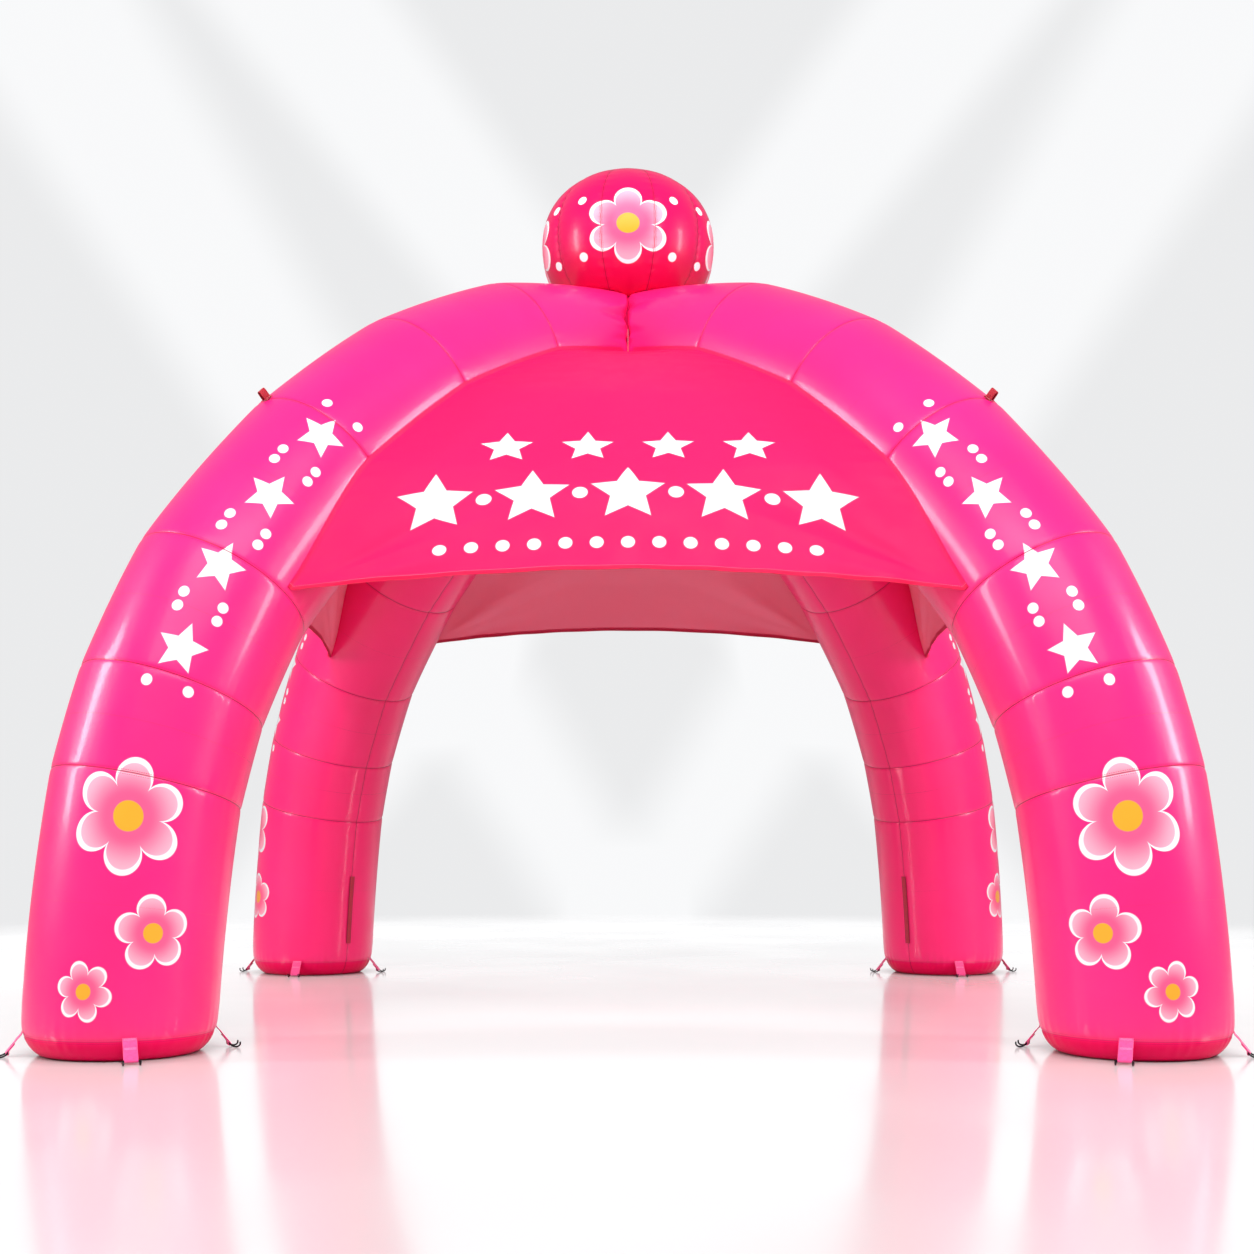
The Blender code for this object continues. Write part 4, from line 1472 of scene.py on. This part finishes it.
def ball_surface():
    """Points of the ball, their distance to a gore's seam and the rows' climb."""
    azimuth = np.linspace(-180.0, 180.0, BALL_COLUMNS + 1)[None, :-1]
    climb = np.linspace(-90.0, 90.0, BALL_ROWS + 1)[1:-1, None]
    flat = np.cos(np.radians(climb))
    high = np.sin(np.radians(climb)) * np.ones_like(azimuth)
    squared = (flat**BALL_SQUARENESS + np.abs(high) ** BALL_SQUARENESS) ** (1 / BALL_SQUARENESS)
    gore = 360.0 / BALL_GORES
    front = azimuth - 90.0
    off = (front + gore / 2) % gore - gore / 2
    seam = np.abs(np.radians(off)) * BALL_RADIUS * flat
    arc = np.radians(climb) * BALL_RADIUS
    swell = GORE_SWELL * np.cos(np.radians(off) * BALL_GORES / 2) ** 2
    pinch = GORE_PINCH * np.exp(-seam / GORE_PINCH_REACH)
    # shifts of the folds, so that no two gores gather alike
    uneven = 1.7 * np.sin(front * 0.11) + 1.3 * np.sin(arc * 9)
    folds = np.cos(arc * 2 * math.pi / GORE_FOLD_LENGTH + uneven) * GORE_FOLDS / BALL_RADIUS
    folds = folds * np.exp(-seam / GORE_FOLD_REACH) * smooth_step(flat / 0.4)
    scale = BALL_RADIUS * (1.0 - (pinch + swell) * flat + folds) / squared
    x = scale * flat * np.cos(np.radians(front))
    y = scale * flat * np.sin(np.radians(front))
    z = BALL_CENTRE_HEIGHT + BALL_HALF_HEIGHT * high / squared
    z = np.maximum(z, crown_height(x, y))
    return np.stack([x, y, z], axis=-1), seam * np.ones_like(z), climb[:, 0]


print("ball grid:", BALL_COLUMNS, "by", BALL_ROWS)

# %% Make the ball
POLE_SEAM = 0.1


def make_ball():
    """The closed ball, seated on the crown."""
    points, seam, climb = ball_surface()
    rows, columns = seam.shape
    faces, corners = grid_faces(rows, columns, closed=True)
    u = np.linspace(-math.pi, math.pi, columns + 1) * BALL_RADIUS
    v = np.radians(climb) * BALL_RADIUS
    uvs = [tuple(c) for c in np.stack([u[corners[..., 1]], v[corners[..., 0]]], axis=-1).reshape(-1, 2)]
    points, seam = list(points.reshape(-1, 3)), list(seam.ravel())
    foot, axis = len(points), np.zeros(1)
    points += [(0.0, 0.0, crown_height(axis, axis)[0]), (0.0, 0.0, BALL_TOP)]
    seam += [POLE_SEAM, POLE_SEAM]
    faces = [tuple(f) for f in faces]
    for c in range(columns):
        n = (c + 1) % columns
        last = (rows - 1) * columns
        faces += [(n, c, foot), (last + c, last + n, foot + 1)]
        uvs += [(u[c + 1], v[0]), (u[c], v[0]), (u[c], -math.pi / 2 * BALL_RADIUS)]
        uvs += [(u[c], v[-1]), (u[c + 1], v[-1]), (u[c], math.pi / 2 * BALL_RADIUS)]
    return cloth_object("top_ball_cloth", points, faces, uvs, [(ball_cloth, len(faces))],
                        measures={"gore_seam": seam})


ball = make_ball()
take_place(ball, "top_ball")
print("ball has", len(ball.data.polygons), "faces")

# %% [markdown]
# ## Webbing
# The anchor straps and the guy tabs are woven webbing: a flat band with thick
# ribs across it and firm, rounded edges. A thin box would do from afar, but it
# has no edges to catch the light. So each band is a rounded cross-section
# that is swept along its route, as a rope is, and its route is the same folded
# line as in the solid.

# %% Webbing finish
RIB_PERIOD = 0.0024
YARN_PERIOD = 0.0036
YARN_SHARE = 0.35
STRAP_STITCH = 0.0042
STRAP_THREAD = (0.0006, 0.0011)


def make_webbing(name, colour, deep, thread, width, stitch_rows):
    """Ribbed webbing with rows of stitches across it at given distances."""
    finish = Finish(name, 0.58)
    u, v, place = finish.cloth_place()
    rib = finish.math("SINE", finish.times(v, 2 * math.pi / RIB_PERIOD))
    cross = finish.math("SINE", finish.times(u, 2 * math.pi / YARN_PERIOD))
    weave = finish.math("MULTIPLY_ADD", cross, YARN_SHARE, rib)
    shade = finish.fade(finish.noise(place, 60.0, 3.0), *NOISE_RANGE, 0.0, 0.35)
    # painted shade: the hollows between the ribs are drawn towards the deep colour; the patches below
    # are random tone
    colour = finish.mix(finish.fade(weave, -1.2, 1.0, 0.45, 0.0), colour, deep)
    colour = finish.mix(shade, colour, deep)
    dash = finish.dashes(u, STRAP_STITCH)
    inside = finish.fade(finish.absolute(u), width * 0.40, width * 0.42, 1.0, 0.0)
    for at in stitch_rows:
        off = finish.absolute(finish.minus(v, at))
        row = finish.times(finish.fade(off, *STRAP_THREAD, 1.0, 0.0), dash)
        colour = finish.mix(finish.times(row, inside), colour, thread)
    finish.set("Base Color", colour)
    finish.set("Sheen Weight", 0.25)
    finish.bump(weave, 0.0004, 0.6)
    return finish.material


print("ribs of webbing:", round(1 / RIB_PERIOD), "in a metre")

# %% Webbing of the straps and tabs
WEBBING_WIDTH = 0.056
TAB_WIDTH = 0.036
# cloth, the painted shade of its hollows and its darker patches, and the thread, then the width and
# where stitches run
strap_webbing = make_webbing(
    "strap_webbing", (1.0, 0.090, 0.330), (0.80, 0.020, 0.160), (1.0, 0.45, 0.62),
    WEBBING_WIDTH, (0.004, 0.009, 0.047, 0.052),
)
tab_webbing = make_webbing(
    "tab_webbing_red", (0.40, 0.001, 0.016), (0.20, 0.0, 0.008), (0.56, 0.03, 0.07),
    TAB_WIDTH, (0.006, 0.108),
)
print("webbing: straps and tabs")

# %% Bands along a route
BAND_THICKNESS = 0.003
BAND_ACROSS = 12
EDGE_STEPS = 4


def band_profile(width, thickness):
    """Rounded cross-section, as pairs of a place across the band and through it."""
    half, round_off = width / 2, thickness / 2
    flat = np.linspace(-half + round_off, half - round_off, BAND_ACROSS)
    top = [(x, round_off) for x in flat]
    turn = np.linspace(math.pi / 2, -math.pi / 2, EDGE_STEPS + 2)[1:-1]
    right = [(half - round_off + round_off * math.cos(a), round_off * math.sin(a)) for a in turn]
    bottom = [(x, -round_off) for x in flat[::-1]]
    left = [(-x, -z) for x, z in right]
    return np.array(top + right + bottom + left)


def route_outward(route):
    """Direction out of the face of a band, at each point of a flat route (x, z)."""
    along = np.gradient(route, axis=0)
    along = along / np.linalg.norm(along, axis=1, keepdims=True)
    return np.stack([-along[:, 1], along[:, 0]], axis=1)


def band_object(name, route, width, material, place):
    """Closed band of webbing along a route in the X-Z plane, wide along Y."""
    profile = band_profile(width, BAND_THICKNESS)
    out = route_outward(route)
    lengths = np.concatenate([[0.0], np.cumsum(np.linalg.norm(np.diff(route, axis=0), axis=1))])
    rows, columns = len(route), len(profile)
    x = route[:, :1] + out[:, :1] * profile[None, :, 1]
    z = route[:, 1:] + out[:, 1:] * profile[None, :, 1]
    y = profile[None, :, 0] + np.zeros_like(x)
    points = np.stack([x, y, z], axis=-1).reshape(-1, 3)
    points = [place @ Vector(p) for p in points]
    faces, corners = grid_faces(rows, columns, closed=True)
    faces = faces[:, ::-1]
    corners = corners[:, ::-1]
    u = profile[corners[..., 1] % columns, 0]
    uvs = np.stack([u, lengths[corners[..., 0]]], axis=-1).reshape(-1, 2)
    faces = [tuple(f) for f in faces]
    caps = [tuple(range(columns)), tuple(range(rows * columns - 1, (rows - 1) * columns - 1, -1))]
    uvs = [tuple(c) for c in uvs]
    for cap, at in zip(caps, (0.0, lengths[-1])):
        uvs += [(profile[i % columns, 0], at) for i in cap]
    faces += caps
    band = cloth_object(name, points, faces, uvs, [(material, len(faces))], sharp=50.0)
    return band, float(lengths[-1])


print("profile of a band:", len(band_profile(WEBBING_WIDTH, BAND_THICKNESS)), "points")

# %% [markdown]
# Each foot has four straps. A strap leaves the leg at its base seam, runs down
# and out, folds round the bar of its hook and is stitched back to itself.

# %% Strap route
BAR_DISTANCE = 0.4395
BAR_HEIGHT = 0.0165
LOOP_RADIUS = 0.0062
LOOP_TURN = 50.0
LOOP_STEPS = 14
LAYER_PITCH = 0.0037
STITCHED_LENGTHS = (0.012, 0.024, 0.036, 0.046)
STRAP_ROUTE = (
    # distance from the foot's axis, height, down to where the loop starts
    (0.3842, 0.100),
    (0.3854, 0.093),
    (0.3935, 0.083),
    (0.4035, 0.072),
    (0.4165, 0.0545),
)


def strap_route():
    """Strap from its seam, round the hook's bar and back under itself."""
    turn = math.radians(LOOP_TURN)
    down = np.array([math.cos(turn), -math.sin(turn)])
    above = np.array([math.sin(turn), math.cos(turn)])
    bar = np.array([BAR_DISTANCE, BAR_HEIGHT])
    around = np.linspace(0.0, math.pi, LOOP_STEPS + 1)[:, None]
    loop = bar + LOOP_RADIUS * (above * np.cos(around) + down * np.sin(around))
    first = curve_through([*STRAP_ROUTE, tuple(loop[0])], 4)[:-1]
    lap = bar + (LOOP_RADIUS - LAYER_PITCH) * above
    back = np.array([lap - down * length for length in STITCHED_LENGTHS])
    return np.vstack([first, loop, back])


print("strap route has", len(strap_route()), "points")

# %% [markdown]
# A hook is one steel wire with a black coat that has worn off in spots. Its
# bar lies in the strap's loop and its two arms turn up at their tips. A curve
# with a bevel would give round wire too, but a mesh lets the tips be rounded.

# %% Hook finish
STEEL_BLACK = (0.018, 0.018, 0.020)
STEEL_WORN = (0.22, 0.22, 0.23)


def make_hook_steel():
    """Black coated steel, worn bright in spots."""
    finish = Finish("hook_black_steel", 0.30)
    place = finish.add("ShaderNodeTexCoord").outputs["Object"]
    worn = finish.fade(finish.noise(place, 120.0, 4.0), 0.56, 0.74, 0.0, 0.6)
    finish.set("Base Color", finish.mix(worn, STEEL_BLACK, STEEL_WORN))
    finish.set("Metallic", 0.85)
    finish.set("Roughness", finish.fade(finish.noise(place, 300.0), *NOISE_RANGE, 0.24, 0.38))
    return finish.material


hook_steel = make_hook_steel()
print("hook steel has", len(hook_steel.node_tree.nodes), "nodes")

# %% Wire along a route
WIRE_RADIUS = 0.0035
WIRE_SIDES = 14
TIP_ANGLES = (0.5, 1.0, 1.35)


def wire_object(name, route, radius, material, place):
    """Round wire along a route in space, with rounded tips."""
    route = np.asarray(route, dtype=float)
    along = np.gradient(route, axis=0)
    along = along / np.linalg.norm(along, axis=1, keepdims=True)
    side = np.cross(along[0], (0.0, 1.0, 0.0))
    rings = []
    for point, direction in zip(route, along):
        side = side - direction * float(side @ direction)
        side = side / np.linalg.norm(side)
        rings.append((point, direction, side, np.cross(direction, side), radius))
    tips = []
    for number, (point, direction, first, second, _) in ((0, rings[0]), (1, rings[-1])):
        outward = -direction if number == 0 else direction
        tips.append([
            (point + outward * radius * math.sin(a), direction, first, second, radius * math.cos(a))
            for a in TIP_ANGLES
        ])
    rings = tips[0][::-1] + rings + tips[1]
    turn = np.linspace(0.0, 2 * math.pi, WIRE_SIDES + 1)[:-1]
    points = np.array([
        [p + r * (math.cos(a) * first + math.sin(a) * second) for a in turn]
        for p, _, first, second, r in rings
    ])
    faces, corners = grid_faces(len(rings), WIRE_SIDES, closed=True)
    uvs = [(0.001 * c[1], 0.001 * c[0]) for c in corners.reshape(-1, 2)]
    faces = [tuple(f) for f in faces]
    last = len(rings) * WIRE_SIDES
    faces += [tuple(range(WIRE_SIDES - 1, -1, -1)), tuple(range(last - WIRE_SIDES, last))]
    uvs += [(0.0, 0.0)] * (2 * WIRE_SIDES)
    points = [place @ Vector(p) for p in points.reshape(-1, 3)]
    return cloth_object(name, points, faces, uvs, [(material, len(faces))], sharp=60.0)


print("wire of", 2 * WIRE_RADIUS, "m with", WIRE_SIDES, "sides")

# %% Route of a hook
HOOK_ARM_OFFSET = 0.0325
HOOK_CORNER = 0.008
# how far the middle of a corner lies from where bar and arm would meet
CORNER_OUT, CORNER_IN, CORNER_DOWN = 0.0012, 0.0022, 0.0008
HOOK_ARM = (
    # distance from the foot's axis, height, out to the turned-up tip
    (0.4475, 0.0105),
    (0.4580, 0.0052),
    (0.4680, 0.0040),
    (0.4770, 0.0068),
    (0.4825, 0.0135),
    (0.4830, 0.0215),
)


def hook_route():
    """Tip, arm, bar, arm and tip of one hook, with rounded corners."""
    half = [(BAR_DISTANCE, HOOK_ARM_OFFSET - HOOK_CORNER, BAR_HEIGHT)]
    half.append((BAR_DISTANCE + CORNER_OUT, HOOK_ARM_OFFSET - CORNER_IN, BAR_HEIGHT - CORNER_DOWN))
    half += [(x, HOOK_ARM_OFFSET, z) for x, z in HOOK_ARM]
    other = [(x, -y, z) for x, y, z in reversed(half)]
    return curve_through(other + half, 5)


print("hook wire has", len(hook_route()), "rings")

# %% Make the straps and hooks
STRAPS_PER_FOOT = 4
route = strap_route()
wire = hook_route()
for name, azimuth, turn in LEGS:
    angle = math.radians(azimuth)
    centre = Vector((FOOT_DISTANCE * math.cos(angle), FOOT_DISTANCE * math.sin(angle), 0.0))
    for i in range(STRAPS_PER_FOOT):
        heading = math.radians(360.0 * i / STRAPS_PER_FOOT + turn)
        place = Matrix.Translation(centre) @ Matrix.Rotation(heading, 4, "Z")
        number = f"{name}_{i + 1}"
        strap, strap_length = band_object(
            f"strap_{number}_webbing", route, WEBBING_WIDTH, strap_webbing, place
        )
        take_place(strap, f"strap_{number}")
        hook = wire_object(f"hook_{number}_wire", wire, WIRE_RADIUS, hook_steel, place)
        take_place(hook, f"hook_{number}")
print("each strap is", round(strap_length, 3), "m of webbing,", STRAPS_PER_FOOT, "to a foot")

# %% [markdown]
# ## Guy tabs
# A guy tab is a short loop of dark red webbing on the back of a leg, for a
# rope in windy weather. It is the same band as a strap, on a shorter route
# that is drawn as one half and mirrored.

# %% Guy tabs
TAB_AT = 2.815
TAB_LIFT = 0.0028
TAB_ROUTE = (
    # distance across the leg, height above its back, one half of the loop
    (0.0250, 0.0000),
    (0.0120, 0.0008),
    (0.0095, 0.0070),
    (0.0085, 0.0340),
    (0.0045, 0.0430),
)


def tab_place(azimuth):
    """Frame of a guy tab: X across the leg, Y along it, Z out from its back."""
    middle, outward = arch_frame(np.array(TAB_AT))
    base = middle + outward * (TUBE_RADIUS + TAB_LIFT)
    out = Vector((outward[0], 0.0, outward[1]))
    across = Vector((0.0, 1.0, 0.0))
    turn = Matrix((across, out.cross(across), out)).transposed()
    leg = Matrix.Rotation(math.radians(azimuth), 4, "Z")
    return leg @ Matrix.Translation((base[0], 0.0, base[1])) @ turn.to_4x4()


tab_points = [(-x, z) for x, z in TAB_ROUTE] + [(x, z) for x, z in reversed(TAB_ROUTE)]
tab_line = curve_through(tab_points, 5)
for name, azimuth, _ in LEGS:
    tab, tab_length = band_object(
        f"guy_tab_{name}_webbing", tab_line, TAB_WIDTH, tab_webbing, tab_place(azimuth)
    )
    take_place(tab, f"guy_tab_{name}")
print("each guy tab is", round(tab_length, 3), "m of webbing")

# %% [markdown]
# ## Zip flaps
# A zip slit low on the inner side of a leg lets the air out, and a narrow flap
# of dark cloth covers it. It could be a dark stripe in the print, but its free
# edge lifts a little and throws a shadow, so it is a thin sheet of its own.

# %% Flap finish
FLAP_WIDTH = 0.030
FLAP_WEAVE = 0.0022
FLAP_RED = (0.44, 0.002, 0.030)
FLAP_SHADE = (0.30, 0.001, 0.020)
FLAP_DEEP = (0.16, 0.0, 0.012)
FLAP_THREAD = (0.62, 0.03, 0.08)


def make_flap_cloth():
    """Dark red cloth with a stitched border."""
    finish = Finish("flap_cloth_dark_red", 0.55)
    u, v, place = finish.cloth_place()
    edge = finish.minus(FLAP_WIDTH / 2, finish.absolute(u))
    shade = finish.fade(finish.noise(place, 25.0, 3.0), *NOISE_RANGE, 0.0, 0.5)
    colour = finish.mix(shade, FLAP_RED, FLAP_SHADE)
    colour, _ = seam_marks(finish, colour, edge, v, FLAP_DEEP, FLAP_THREAD)
    finish.set("Base Color", colour)
    finish.set("Sheen Weight", 0.12)
    finish.bump(weave_height(finish, u, v, FLAP_WEAVE), 0.0004, 0.3)
    return finish.material


flap_cloth = make_flap_cloth()
print("flap cloth has", len(flap_cloth.node_tree.nodes), "nodes")

# %% Make the flaps
FLAP_FROM = 0.22
FLAP_TO = 0.70
FLAP_THICKNESS = 0.0018
FLAP_LIFT = 0.0032
FLAP_RIPPLE = 0.0012
FLAP_ROWS = 60
FLAP_COLUMNS = 10

up = np.linspace(FLAP_FROM, FLAP_TO, FLAP_ROWS + 1)[:, None]
off = np.linspace(-FLAP_WIDTH / 2, FLAP_WIDTH / 2, FLAP_COLUMNS + 1)[None, :]
for number, (name, azimuth, _) in enumerate(LEGS):
    free = smooth_step((off + FLAP_WIDTH / 2) / FLAP_WIDTH)
    ripple = FLAP_RIPPLE * free * (0.6 + 0.4 * np.sin(up * 61.0 + number * 1.3))
    angles = 180.0 + np.degrees(off / TUBE_RADIUS) + 0.0 * up
    points = tube_point(up + 0.0 * off, angles, TUBE_RADIUS + FLAP_LIFT + ripple)
    uv = np.stack([off + 0.0 * up, up + 0.0 * off], axis=-1)
    flap = thick_sheet(
        f"zip_flap_{name}_cloth", turned(points, azimuth), uv, FLAP_THICKNESS, flap_cloth, flap_cloth
    )
    take_place(flap, f"zip_flap_{name}")
print("zip flaps of", FLAP_WIDTH, "x", round(FLAP_TO - FLAP_FROM, 2), "m")
